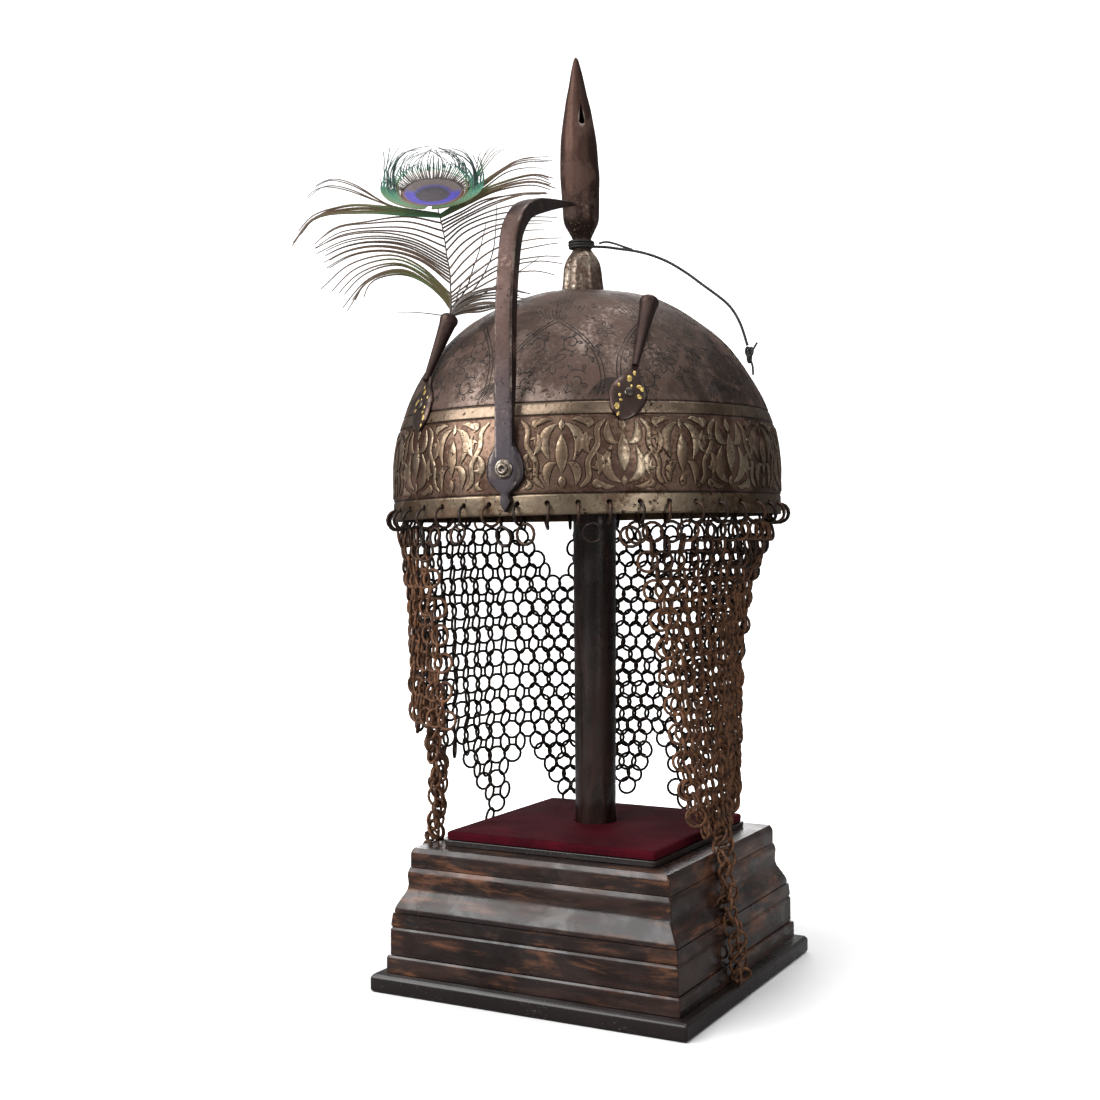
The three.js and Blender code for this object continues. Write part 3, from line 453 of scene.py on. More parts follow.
def make_old_iron():
    """Handled and rusted iron: bare worn metal under patches of patina and rust, with pits."""
    tree, given, out = new_group(
        "old_iron",
        [
            ("Place", "Vector", None),
            ("Metal", "Color", srgb(150, 140, 130)),
            ("Patina", "Color", srgb(88, 68, 62)),
            ("Rust", "Color", srgb(100, 60, 46)),
            ("Patina Share", "Float", 0.7),
            ("Rust Share", "Float", 0.2),
            ("Pit Share", "Float", 0.3),
            ("Patch Size", "Float", 20.0),
            ("Gloss", "Float", 0.36),
        ],
        [("Color", "Color"), ("Roughness", "Float"), ("Metallic", "Float"), ("Height", "Float")],
    )
    place = given["Place"]
    patch_scale = calc(tree, "DIVIDE", 1000.0, given["Patch Size"])
    broad = cloud(tree, place, patch_scale, 4.0, 0.62, 0.4)
    speckle = cloud(tree, place, 520.0, 2.0, 0.7)
    patchy = uneven(tree, broad, speckle, 0.5)
    cover = less(tree, plus(tree, patchy, given["Patina Share"]), 0.5)
    coat = between(tree, cover, 0.36, 0.62)
    colour = mix(tree, coat, given["Metal"], given["Patina"])
    shaded = cloud(tree, place, 75.0, 3.0, 0.6)
    darker = mix(tree, 0.6, colour, srgb(40, 32, 30))
    colour = mix(tree, between(tree, shaded, 0.3, 0.7, 0.0, 0.5), colour, darker)
    blooms = cloud(tree, place, 38.0, 4.0, 0.66, 0.8)
    rusty = plus(tree, blooms, times(tree, given["Rust Share"], 0.5))
    rust = between(tree, rusty, 0.58, 0.72)
    colour = mix(tree, times(tree, rust, 0.85), colour, given["Rust"])
    specks = cloud(tree, place, 480.0, 2.0, 0.65)
    pit_field = times(tree, less(tree, cloud(tree, place, 70.0, 2.0), 0.5), 0.7)
    pit_depth = plus(tree, times(tree, given["Pit Share"], 0.16), pit_field)
    pits = between(tree, plus(tree, specks, pit_depth), 0.74, 0.8)
    colour = mix(tree, times(tree, pits, 0.8), colour, srgb(26, 20, 18))
    rough = plus(tree, given["Gloss"], times(tree, coat, 0.1))
    rough = plus(tree, rough, times(tree, rust, 0.22))
    rough = uneven(tree, rough, speckle, 0.3)
    height = less(tree, times(tree, speckle, 0.5), pits)
    height = plus(tree, height, times(tree, broad, 0.4))
    metallic = between(tree, rust, 0.0, 1.0, 1.0, 0.45)
    look(tree, out, color=colour, roughness=rough, metallic=metallic, height=height)
    return tree


def make_polish_dust():
    """Dust that dulls a polished coat."""
    inputs = [("Place", "Vector", None), ("Dust Share", "Float", 0.3)]
    tree, given, out = new_group("polish_dust", inputs, [("Dust", "Float")])
    dust = cloud(tree, given["Place"], 900.0, 2.0, 0.8)
    thick = cloud(tree, given["Place"], 24.0, 4.0)
    dusty = uneven(tree, dust, thick, 0.4)
    low = less(tree, 0.8, times(tree, given["Dust Share"], 0.3))
    feed(tree, out["Dust"], between(tree, less(tree, dusty, low), 0.0, 0.08))
    return tree


def make_wood_grain():
    """Dark polished wood: long streaks along X of the place that is given."""
    tree, given, out = new_group(
        "wood_grain",
        [
            ("Place", "Vector", None),
            ("Dark", "Color", srgb(24, 14, 12)),
            ("Middle", "Color", srgb(50, 30, 23)),
            ("Streak", "Color", srgb(98, 62, 42)),
            ("Streak Share", "Float", 0.3),
        ],
        [("Color", "Color"), ("Roughness", "Float"), ("Height", "Float")],
    )
    long = scaled(tree, given["Place"], (0.16, 1, 1))
    fibres = cloud(tree, long, 420.0, 3.0, 0.7)
    bands = cloud(tree, long, 70.0, 3.0, 0.6, 1.2)
    flame = cloud(tree, scaled(tree, given["Place"], (0.3, 1, 1)), 62.0, 4.0, 0.6, 1.2)
    colour = mix(tree, between(tree, bands, 0.35, 0.65), given["Dark"], given["Middle"])
    streaky = uneven(tree, flame, fibres, 0.35)
    streaky = plus(tree, streaky, times(tree, given["Streak Share"], 0.4))
    share = between(tree, streaky, 0.62, 0.86)
    colour = mix(tree, share, colour, given["Streak"])
    colour = mix(tree, between(tree, fibres, 0.6, 0.35, 0.0, 0.45), colour, srgb(16, 10, 9))
    rough = between(tree, bands, 0.3, 0.7, 0.22, 0.42)
    look(tree, out, color=colour, roughness=rough, height=plus(tree, fibres, times(tree, bands, 2.0)))
    return tree


OLD_IRON = make_old_iron()
POLISH_DUST = make_polish_dust()
WOOD_GRAIN = make_wood_grain()


def iron_finish(name, settings, strength=0.35, distance=0.25, **constants):
    """A plain iron finish from the old iron group."""
    finish, tree, shader = new_finish(name, **constants)
    out = use(tree, OLD_IRON, {"Place": place_of(tree), **settings})
    for label in ("Roughness", "Metallic"):
        feed(tree, shader.inputs[label], out[label])
    look(tree, shader.inputs, base_color=out["Color"])
    bump(tree, shader, out["Height"], strength, distance)
    return finish, tree, shader, out


ZONE_EDGE = 0.35
SLOT_RIM = {"out": 9.5, "outer": 3.2, "inner": 2.3, "squeeze": 0.42}
# A broad spot on the skull's front where less patina lies: partly worn bare metal, partly a painted highlight
# where the light falls.
WORN_AND_HIGHLIT_SPOT = {"azimuth": 18, "z": 34, "near": 20, "far": 130}


def make_engraved_steel():
    """The skull's steel: border, band ground, strip and dome from the rim up, and the pale worn collar."""
    finish, tree, shader = new_finish("engraved_steel")
    place = place_of(tree)
    height = value_of(tree, "height")
    zones = []
    for top in [*GROOVES.values(), COLLAR_ZONE - 1]:
        zones.append(between(tree, height, top - ZONE_EDGE, top + ZONE_EDGE))
    # Paler steel round the spot, fading towards the sides: partly wear, partly painted highlight.
    spot = seated(on_skull(WORN_AND_HIGHLIT_SPOT["azimuth"], WORN_AND_HIGHLIT_SPOT["z"], 0), HELMET) * MM
    from_spot = distance_from(tree, place, spot)
    worn_and_highlit = between(tree, from_spot, WORN_AND_HIGHLIT_SPOT["far"] * MM, WORN_AND_HIGHLIT_SPOT["near"] * MM)

    def by_zone(border, *above):
        value = border
        for zone, next_value in zip(zones, above):
            value = mix(tree, zone, value, next_value)
        return value

    def share_by_zone(*shares):
        return by_zone(*[(share, share, share, 1) for share in shares])

    def colour_by_zone(*colours):
        return by_zone(*[srgb(*colour) for colour in colours])

    metal = colour_by_zone((150, 134, 114), (118, 96, 82), (134, 117, 100), (118, 103, 95), (200, 186, 168))
    patina = colour_by_zone((98, 78, 60), (80, 58, 47), (98, 80, 66), (86, 71, 64), (104, 82, 72))
    rust = colour_by_zone((92, 70, 52), (78, 54, 44), (90, 70, 58), (84, 63, 54), (78, 60, 48))
    cover = share_by_zone(0.68, 0.76, 0.64, 0.76, 0.5)
    cover = less(tree, cover, times(tree, worn_and_highlit, 0.3))
    inputs = {
        "Place": place,
        "Metal": metal,
        "Patina": patina,
        "Rust": rust,
        "Patina Share": cover,
        "Rust Share": share_by_zone(0.15, 0.2, 0.1, 0.22, 0.1),
        "Pit Share": share_by_zone(0.5, 0.2, 0.5, 0.3, 0.6),
        "Patch Size": 26.0,
        "Gloss": share_by_zone(0.36, 0.42, 0.38, 0.44, 0.34),
    }
    out = use(tree, OLD_IRON, inputs)
    colour = out["Color"]
    for groove in GROOVES.values():
        off = calc(tree, "ABSOLUTE", less(tree, height, groove))
        colour = mix(tree, between(tree, off, 0.7, 0.2, 0.0, 0.75), colour, srgb(34, 24, 20))
    look(
        tree,
        shader.inputs,
        base_color=colour,
        roughness=out["Roughness"],
        metallic=out["Metallic"],
    )
    bump(tree, shader, out["Height"], 0.7, 0.35)
    return finish


def make_raised_steel():
    """The band's raised ornament: pale worn tops with small pits, dark at the foot of each wall."""
    settings = {
        "Metal": srgb(180, 163, 140),
        "Patina": srgb(122, 102, 84),
        "Rust": srgb(98, 76, 60),
        "Patina Share": 0.56,
        "Rust Share": 0.05,
        "Pit Share": 0.6,
        "Patch Size": 30.0,
        "Gloss": 0.34,
    }
    finish, tree, shader, out = iron_finish("raised_steel", settings)
    foot = between(tree, value_of(tree, "foot"), 0.25, 0.8)
    colour = mix(tree, times(tree, foot, 0.85), out["Color"], srgb(48, 34, 28))
    look(tree, shader.inputs, base_color=colour)
    return finish


def make_etched_line():
    """The thin dark lines that are cut in the dome, worn away in places."""
    finish, tree, shader = new_finish("etched_line", metallic=0.6)
    worn = cloud(tree, place_of(tree), 46.0, 5.0, 0.7)
    colour = mix(tree, between(tree, worn, 0.52, 0.68), srgb(24, 18, 16), srgb(74, 60, 54))
    look(
        tree,
        shader.inputs,
        base_color=colour,
        roughness=between(tree, worn, 0.3, 0.7, 0.6, 0.42),
    )
    bump(tree, shader, worn, 0.2, 0.2)
    return finish


def make_spike_iron():
    """The spike: dark brown with fine upright streaks, shinier low down, with a pale rim round its slot."""
    settings = {
        "Metal": srgb(106, 86, 77),
        "Patina": srgb(78, 59, 52),
        "Rust": srgb(84, 58, 47),
        "Patina Share": 0.74,
        "Rust Share": 0.15,
        "Pit Share": 0.1,
        "Patch Size": 24.0,
        "Gloss": 0.44,
    }
    finish, tree, shader, out = iron_finish("rusted_iron", settings, 0.5, 0.35)
    upright = scaled(tree, place_of(tree), (1, 1, 0.08))
    streak = between(tree, cloud(tree, upright, 260.0, 4.0, 0.6), 0.42, 0.66)
    colour = mix(tree, times(tree, streak, 0.4), out["Color"], srgb(62, 44, 42))
    low = between(tree, value_of(tree, "low"), 0.35, 0.85)
    speck = between(tree, cloud(tree, place_of(tree), 700.0, 3.0, 0.7), 0.6, 0.7)
    colour = mix(tree, times(tree, low, 0.55), colour, srgb(58, 48, 44))
    colour = mix(tree, times(tree, low, speck), colour, srgb(150, 138, 122))
    # Paints a pale ring round the slot's edge.
    slot_middle = SPIKE_SLOT["z"] + SPIKE_SLOT["point"] * 0.3
    slot = seated(around(SPIKE_SLOT["azimuth"], SLOT_RIM["out"], slot_middle), SPIKE) * MM
    upright_oval = (1, 1, SLOT_RIM["squeeze"])
    from_slot = distance_from(tree, scaled(tree, place_of(tree), upright_oval), slot * upright_oval)
    pale_slot_rim = between(tree, from_slot, SLOT_RIM["outer"] * MM, SLOT_RIM["inner"] * MM, 0.0, 0.75)
    colour = mix(tree, pale_slot_rim, colour, srgb(168, 156, 146))
    look(tree, shader.inputs, base_color=colour)
    smooth_foot = less(tree, out["Roughness"], times(tree, low, 0.12))
    look(tree, shader.inputs, roughness=smooth_foot)
    return finish


def make_forged_iron():
    """The nasal and the sockets: brown steel that turns blue-grey towards the nasal's foot, with pale front
    edges that are partly worn and partly a painted highlight.
    """
    settings = {
        "Metal": srgb(116, 98, 90),
        "Patina": srgb(76, 62, 58),
        "Rust": srgb(84, 60, 52),
        "Patina Share": 0.72,
        "Rust Share": 0.1,
        "Pit Share": 0.2,
        "Patch Size": 22.0,
        "Gloss": 0.36,
    }
    finish, tree, shader, out = iron_finish("forged_iron", settings, 0.45, 0.3)
    blued = between(tree, value_of(tree, "blued"), 0.0, 1.0)
    blue_grey = mix(tree, 0.6, out["Color"], srgb(70, 73, 82))
    colour = mix(tree, times(tree, blued, 0.75), out["Color"], blue_grey)
    # The front edges are painted pale: partly worn bare metal, partly a painted highlight along the edges.
    bright = between(tree, value_of(tree, "edge"), 0.4, 1.0)
    broken = between(tree, cloud(tree, place_of(tree), 120.0, 5.0, 0.7), 0.45, 0.62)
    worn_and_highlit = times(tree, times(tree, bright, broken), 0.5)
    colour = mix(tree, worn_and_highlit, colour, srgb(160, 148, 138))
    look(tree, shader.inputs, base_color=colour)
    return finish


def make_gilt_flecks():
    """What is left of the gilding on the socket leaves."""
    finish, tree, shader = new_finish("gilt_flecks", metallic=0.9)
    worn = cloud(tree, place_of(tree), 600.0, 4.0, 0.7)
    colour = mix(tree, between(tree, worn, 0.4, 0.66), srgb(232, 205, 128), srgb(150, 118, 64))
    look(
        tree,
        shader.inputs,
        base_color=colour,
        roughness=between(tree, worn, 0.3, 0.7, 0.28, 0.5),
    )
    bump(tree, shader, worn, 0.3, 0.15)
    return finish


def make_worn_steel():
    settings = {
        "Metal": srgb(182, 172, 158),
        "Patina": srgb(112, 100, 90),
        "Rust": srgb(92, 70, 56),
        "Patina Share": 0.5,
        "Rust Share": 0.0,
        "Pit Share": 0.4,
        "Patch Size": 6.0,
        "Gloss": 0.3,
    }
    finish, tree, shader, out = iron_finish("worn_steel", settings)
    sunk = between(tree, value_of(tree, "sunk"), 0.3, 0.8)
    colour = mix(tree, times(tree, sunk, 0.8), out["Color"], srgb(58, 52, 50))
    look(tree, shader.inputs, base_color=colour)
    return finish


def make_mail_iron():
    """Ring wire: near-black behind and orange-brown rust on the front flaps, by each ring's own value."""
    finish, tree, shader = new_finish("mail_iron")
    place = place_of(tree)
    rust = value_of(tree, "rust")
    share = between(tree, uneven(tree, rust, cloud(tree, place, 240.0), 0.7), 0.1, 0.9)
    black = mix(tree, cloud(tree, place, 700.0), srgb(66, 57, 53), srgb(34, 29, 28))
    patches = between(tree, cloud(tree, place, 500.0), 0.35, 0.65)
    brown = mix(tree, patches, srgb(66, 43, 30), srgb(120, 80, 51))
    look(
        tree,
        shader.inputs,
        base_color=mix(tree, share, black, brown),
        metallic=between(tree, share, 0.0, 1.0, 0.85, 0.35),
        roughness=between(tree, share, 0.0, 1.0, 0.42, 0.7),
    )
    bump(tree, shader, cloud(tree, place, 900.0, 1.0), 0.4, 0.15)
    return finish


def make_walnut(name, upright):
    """Glossy dark walnut. On the plinth the grain runs along each side and meets in mitres at the corners."""
    finish, tree, shader = new_finish(name, specular_ior_level=0.3, coat_roughness=0.1)
    place = place_of(tree)
    parts = node(tree, "SeparateXYZ", {0: place}).outputs
    if upright:
        along = node(tree, "CombineXYZ", {0: parts[2], 1: parts[0], 2: parts[1]}).outputs[0]
    else:
        across = node(tree, "CombineXYZ", {0: parts[1], 1: parts[0], 2: parts[2]}).outputs[0]
        side = calc(tree, "GREATER_THAN", calc(tree, "ABSOLUTE", parts[0]), calc(tree, "ABSOLUTE", parts[1]))
        along = node(tree, "Mix", {0: side, 4: place, 5: across}, data_type="VECTOR").outputs[1]
    out = use(tree, WOOD_GRAIN, {"Place": along, "Streak Share": 0.12 if upright else 0.3})
    dust = use(tree, POLISH_DUST, {"Place": place, "Dust Share": 0.3})["Dust"]
    colour = mix(tree, times(tree, dust, 0.3), out["Color"], srgb(150, 130, 110))
    look(tree, shader.inputs, base_color=colour, roughness=out["Roughness"])
    varnish = cloud(tree, along, 34.0, 3.0, 0.65, 1.0)
    look(tree, shader.inputs, coat_weight=between(tree, varnish, 0.42, 0.64, 0.04, 0.48))
    bump(tree, shader, out["Height"], 0.22, 0.4)
    return finish


def make_lacquer():
    """Black-brown lacquer with a little dust and a few pale worn chips along its edge."""
    finish, tree, shader = new_finish("lacquer", specular_ior_level=0.25, coat_roughness=0.12)
    place = place_of(tree)
    dust = use(tree, POLISH_DUST, {"Place": place, "Dust Share": 0.5})["Dust"]
    soft = cloud(tree, place, 30.0, 5.0)
    colour = mix(tree, soft, srgb(16, 12, 12), srgb(32, 24, 22))
    chip = between(tree, cloud(tree, place, 90.0, 6.0, 0.7), 0.7, 0.74)
    edge = between(tree, value_of(tree, "edge"), 0.5, 1.0)
    colour = mix(tree, times(tree, chip, edge), colour, srgb(190, 172, 150))
    colour = mix(tree, times(tree, dust, 0.35), colour, srgb(140, 130, 122))
    look(
        tree,
        shader.inputs,
        base_color=colour,
        roughness=between(tree, soft, 0.3, 0.7, 0.24, 0.36),
        coat_weight=between(tree, dust, 0.0, 1.0, 0.3, 0.05),
    )
    bump(tree, shader, soft, 0.05, 0.3)
    return finish


def make_velvet():
    sheen = {"sheen_weight": 0.04, "sheen_roughness": 0.35, "sheen_tint": srgb(170, 30, 50)}
    finish, tree, shader = new_finish("velvet", specular_ior_level=0.1, **sheen)
    place = place_of(tree)
    pile = cloud(tree, place, 1500.0, 3.0, 0.7)
    brushed = cloud(tree, place, 42.0, 5.0, 0.6, 0.6)
    colour = mix(tree, between(tree, brushed, 0.3, 0.7), srgb(52, 2, 13), srgb(76, 7, 22))
    colour = mix(tree, between(tree, pile, 0.3, 0.7, 0.0, 0.5), colour, srgb(42, 2, 10))
    lint = between(tree, cloud(tree, place, 1100.0, 2.0, 0.9), 0.76, 0.8)
    colour = mix(tree, times(tree, lint, 0.35), colour, srgb(190, 150, 150))
    look(tree, shader.inputs, base_color=colour, roughness=between(tree, pile, 0.2, 0.8, 0.8, 1.0))
    bump(tree, shader, pile, 0.6, 0.3)
    return finish


def make_waxed_cord():
    finish, tree, shader = new_finish("waxed_cord")
    fibre = cloud(tree, place_of(tree), 1400.0, 3.0, 0.7)
    look(
        tree,
        shader.inputs,
        base_color=mix(tree, fibre, srgb(16, 15, 15), srgb(48, 46, 44)),
        roughness=between(tree, fibre, 0.3, 0.7, 0.42, 0.62),
    )
    bump(tree, shader, fibre, 0.3, 0.12)
    return finish


BARB_COLOURS = [
    (0.0, (66, 57, 52)), (0.25, (92, 70, 54)), (0.48, (88, 84, 48)),
    (0.66, (62, 112, 72)), (0.84, (34, 116, 92)), (0.95, (26, 46, 46)),
]
NEAR_EYE_COLOURS = [
    (0.0, (50, 38, 42)), (0.3, (42, 30, 42)), (0.36, (38, 22, 50)),
    (0.41, (58, 40, 160)), (0.58, (44, 40, 140)), (0.64, (112, 74, 44)),
]
FAR_EYE_COLOURS = [
    (0.0, (50, 38, 42)), (0.24, (40, 30, 40)), (0.3, (22, 14, 28)),
    (0.38, (52, 44, 110)), (0.44, (84, 70, 66)), (0.66, (94, 86, 80)),
]


def make_feather_finish():
    """Barbs are coloured by tint, from brown-grey through olive to teal. The eye is coloured by ray, which is
    the share of its radius."""
    finish, tree, shader = new_finish("feather", sheen_weight=0.2, sheen_roughness=0.4)
    tint = value_of(tree, "tint")
    speck = cloud(tree, place_of(tree), 900.0, 3.0, 0.7)
    barbs = stops(tree, uneven(tree, tint, speck, 0.3), BARB_COLOURS)
    ray = value_of(tree, "ray")
    near_side, far_side = stops(tree, ray, NEAR_EYE_COLOURS), stops(tree, ray, FAR_EYE_COLOURS)
    eye = mix(tree, value_of(tree, "far"), near_side, far_side)
    colour = mix(tree, value_of(tree, "eye"), barbs, eye)
    look(
        tree,
        shader.inputs,
        base_color=colour,
        roughness=between(tree, speck, 0.3, 0.7, 0.36, 0.6),
        metallic=times(tree, value_of(tree, "eye"), 0.35),
    )
    bump(tree, shader, speck, 0.4, 0.15)
    return finish


# The skull


def skull_radius(z):
    """The skull's outer radius at a height: straight at first, then rounding in to the crown."""
    rise = np.clip((np.asarray(z, float) - STRAIGHT_SIDE) / (SKULL_HEIGHT - STRAIGHT_SIDE), 0, 1)
    sine = rise ** (RISE_POWER / 2)
    return SKULL_RADIUS * np.sqrt(np.maximum(1 - sine * sine, 0)) ** (2 / ROUND_POWER)


def on_skull(azimuth, z, lift):
    """A point above the skull's outside, lifted square to the surface, in the helmet's frame."""
    z = np.asarray(z, float)
    tilt = np.arctan(skull_radius(z - 0.5) - skull_radius(z + 0.5))
    return around(azimuth, skull_radius(z) + lift * np.cos(tilt), z + lift * np.sin(tilt))


def dents(points):
    """How far the hammered skull stands off its true surface at points of its frame. The rim stays true."""
    off = hammered(points, 26, 0.7, 3.1) + hammered(points, 9, 0.16, 8.3)
    return off * np.clip(points[:, 2] / 8, 0, 1)


def on_dented_skull(azimuth, z, lift):
    """A point above the hammered skull."""
    base = on_skull(azimuth, z, 0.0)
    off = dents(base.reshape(-1, 3)).reshape(base.shape[:-1])
    return on_skull(azimuth, z, lift + off)


def skull_heights(step):
    """Heights up the skull at even steps of the curve, in degrees."""
    rise = np.radians(np.arange(0, CROWN_ANGLE + step, step).clip(0, CROWN_ANGLE))
    curved = STRAIGHT_SIDE + (SKULL_HEIGHT - STRAIGHT_SIDE) * np.sin(rise) ** (2 / RISE_POWER)
    return np.concatenate([np.arange(1.2, STRAIGHT_SIDE, step), curved])


def skull_shell():
    """The shell from the crown's inside down to the rim and up its outside."""
    azimuth = np.arange(SKULL_COLUMNS) * 360 / SKULL_COLUMNS
    near_grooves = [z + GROOVE_WIDTH * k for z in GROOVES.values() for k in (-2, -1, -0.5, 0, 0.5, 1, 2)]
    outer = np.unique(np.concatenate([skull_heights(1.5), near_grooves]).round(3))
    inner = skull_heights(5)[::-1]
    lift = -sum(GROOVE_DEPTH * np.exp(-(((outer - z) / GROOVE_WIDTH) ** 2)) for z in GROOVES.values())
    inside = on_dented_skull(azimuth[None], inner[:, None], -SKULL_WALL)
    edge_lift = np.array([-SKULL_WALL, -SKULL_WALL + 0.4, -0.4, 0])
    edge_height = np.array([0.4, 0, 0, 0.4])
    edge = on_skull(azimuth[None], edge_height[:, None], edge_lift[:, None])
    outside = on_dented_skull(azimuth[None], outer[:, None], lift[:, None])
    return grid(np.concatenate([inside, edge, outside]), loops=True, caps=True).seated(HELMET)


def rim_hole_cutters():
    """One peg through the rim at each of its holes."""
    cutters = []
    for k in range(RIM_HOLES["count"]):
        azimuth = (k + 0.5) * 360 / RIM_HOLES["count"]
        path = around(azimuth, np.array([SKULL_RADIUS - 4, SKULL_RADIUS, SKULL_RADIUS + 3]), RIM_HOLES["z"])
        cutters.append(tube(path, RIM_HOLES["radius"], 12).seated(HELMET))
    return cutters


# A stroke's section: share of its half width, millimetres beyond, share of its height, darkness of its foot.
RAISED_SECTION = np.array([
    (-1, -0.6, -0.5, 1), (-1, -0.5, 0.05, 1), (-1, -0.08, 0.05, 1), (-1, 0.02, 0.7, 0.6), (-1, 0.4, 1, 0),
    (1, -0.4, 1, 0), (1, -0.02, 0.7, 0.6), (1, 0.08, 0.05, 1), (1, 0.5, 0.05, 1), (1, 0.6, -0.5, 1),
])
ETCHED_SECTION = np.array([(-1, 0, -3, 0), (-0.5, 0, 1, 0), (0.5, 0, 1, 0), (1, 0, -3, 0)])


def stroke(line, width, height, azimuth, middle, spindle=False, tail=0.4, section=RAISED_SECTION):
    """A stroke on the skull, with its line in millimetres across and up from an azimuth and a height. It
    narrows to its ends, as a spindle does all along."""
    line = np.asarray(line, float)
    run = unit(np.gradient(line, axis=0))
    aside = np.stack([-run[:, 1], run[:, 0]], axis=-1)
    share = np.linspace(0, 1, len(line))
    swell = np.sin(math.pi * share) ** 0.75 if spindle else np.minimum(1, tail + 6 * share * (1 - share))
    half = width / 2 * np.maximum(swell, 0.12)
    beyond = section[None, :, 1] * np.minimum(1, half[:, None])
    offset = half[:, None] * section[None, :, 0] + beyond
    flat = line[:, None] + aside[:, None] * offset[..., None]
    z = middle + flat[..., 1]
    turn = azimuth + np.degrees(flat[..., 0] / skull_radius(z))
    points = on_dented_skull(turn, z, height * section[None, :, 2])
    return grid(points, loops=True, caps=True, foot=section[:, 3]).seated(HELMET)


def mirrored(lines):
    return lines + [np.asarray(line) * (-1, 1) for line in lines]


# One repeat of the band's leaf scroll, in millimetres across and up from its middle.
PALMETTE = [
    {"lines": mirrored([arc((-1.7, -13.6), (-12.2, -9.6), (-5.6, 3.2), 12)]), "width": 4.6},
    {"lines": mirrored([arc((-2.4, 4.4), (-9, 5), (-6.4, 14.8), 10)]), "width": 4.1},
    {"lines": mirrored([arc((-4.6, -15.4), (-9.4, -17), (-12.9, -11.8), 8)]), "width": 2.6},
    {"lines": [arc((0, -8.4), (0.1, 0), (0, 9), 12)], "width": 5.6},
    {"lines": [arc((0, 10.2), (0, 13), (0, 16), 8)], "width": 3.4},
    {"lines": [arc((0, -15.6), (0, -13), (0, -10.6), 8)], "width": 2.6},
]
VINE_POINTS = [
    (8.6, 15.6), (12.2, 11.4), (12, 4.4), (14.28, 0), (16.56, -4.4), (16.36, -11.4), (19.96, -15.6),
]
VINE = curve(VINE_POINTS, 5)
VINE_LEAVES = [
    {"line": arc((13, 0.4), (8.6, -3.8), (11.8, -10), 10), "width": 3.6},
    {"line": arc((16.6, 11.6), (12.8, 15.2), (18.4, 15.6), 8), "width": 2.8},
    {"line": arc((13.4, 6.4), (17.8, 8.6), (15.6, 3.6), 8), "width": 2.4},
]
PALMETTE_HEIGHT = 0.5
VINE_WIDTH = 2.5
VINE_HEIGHT = PALMETTE_HEIGHT * 0.9
CELL = 28.56


def band_unit(azimuth, upright, narrow):
    """One repeat: a palmette and the vine beyond it. Every second one stands on its head."""
    made = []
    way = np.array((1, upright))
    for part in PALMETTE:
        for line in part["lines"]:
            if not narrow or abs(line[:, 0]).min() > 6:
                made.append(stroke(line * way, part["width"], PALMETTE_HEIGHT, azimuth, BAND_MIDDLE, True))
    vine = VINE * way
    made.append(stroke(vine, VINE_WIDTH, VINE_HEIGHT, azimuth, BAND_MIDDLE))
    for part in VINE_LEAVES:
        for half in (1, -1):
            line = (part["line"] - (CELL / 2, 0)) * half + (CELL / 2, 0)
            made.append(stroke(line * way, part["width"], PALMETTE_HEIGHT, azimuth, BAND_MIDDLE, True))
    return made


def band_ornament():
    made = []
    for k in range(BAND_UNITS):
        made += band_unit(k * 360 / BAND_UNITS, 1 if k % 2 == 0 else -1, k == 0)
    return made


ETCH_WIDTH = 0.7
BOLD_ETCH_WIDTH = 0.8
ETCH_HEIGHT = 0.06
DOME_UNITS = 10
DOME_ARCH = np.array([(24, 0), (25.5, 8), (22, 20), (13, 31), (0, 41)])
ARCH_INSETS = (0, 1.9)
ARCH_INWARDS = np.array([(1, 0), (1, 0), (1, 0), (1, 0), (0, 1)])
DOME_SCROLLS = [
    # share of a panel, aside, height, radius, start, lean, way, leaves
    (0, 7.5, 62, 5.6, 90, -60, 1, 6), (0, 6, 81, 4.6, -90, 30, -1, 5), (0.5, 5.4, 76, 4, 90, 20, 1, 5),
]


def etched(line, azimuth, middle, width=ETCH_WIDTH):
    return stroke(line, width, ETCH_HEIGHT, azimuth, middle, tail=0.5, section=ETCHED_SECTION)


def etched_flower(azimuth, z, size, petals, turn):
    """A flower of outlined petals round a small ring."""
    made = [etched(spiral((0, 0), size * 0.22, 0, 1, 12, 1), azimuth, z)]
    for k in range(petals):
        lean = math.radians(turn + k * 360 / petals)
        axis = np.array((math.cos(lean), math.sin(lean)))
        aside = np.array((-axis[1], axis[0]))
        base, tip = axis * size * 0.28, axis * size
        for side in (1, -1):
            made.append(etched(arc(base, (base + tip) / 2 + aside * side * size * 0.42, tip, 7), azimuth, z))
    return made


def etched_scroll(azimuth, z, radius, start, way, leaves):
    """A curl with small outlined leaves along its outside."""
    line = spiral((0, 0), radius, start, way * 1.3, 26)
    made = [etched(line, azimuth, z, BOLD_ETCH_WIDTH)]
    for k in range(leaves):
        at = line[1 + k * (len(line) - 8) // leaves]
        out = unit(at)
        tip = at + out * radius * 0.55 + np.array((-out[1], out[0])) * way * radius * 0.35
        side = np.array((-(tip - at)[1], (tip - at)[0])) * 0.35
        for half in (1, -1):
            made.append(etched(arc(at, (at + tip) / 2 + side * half, tip, 6), azimuth, z))
    return made


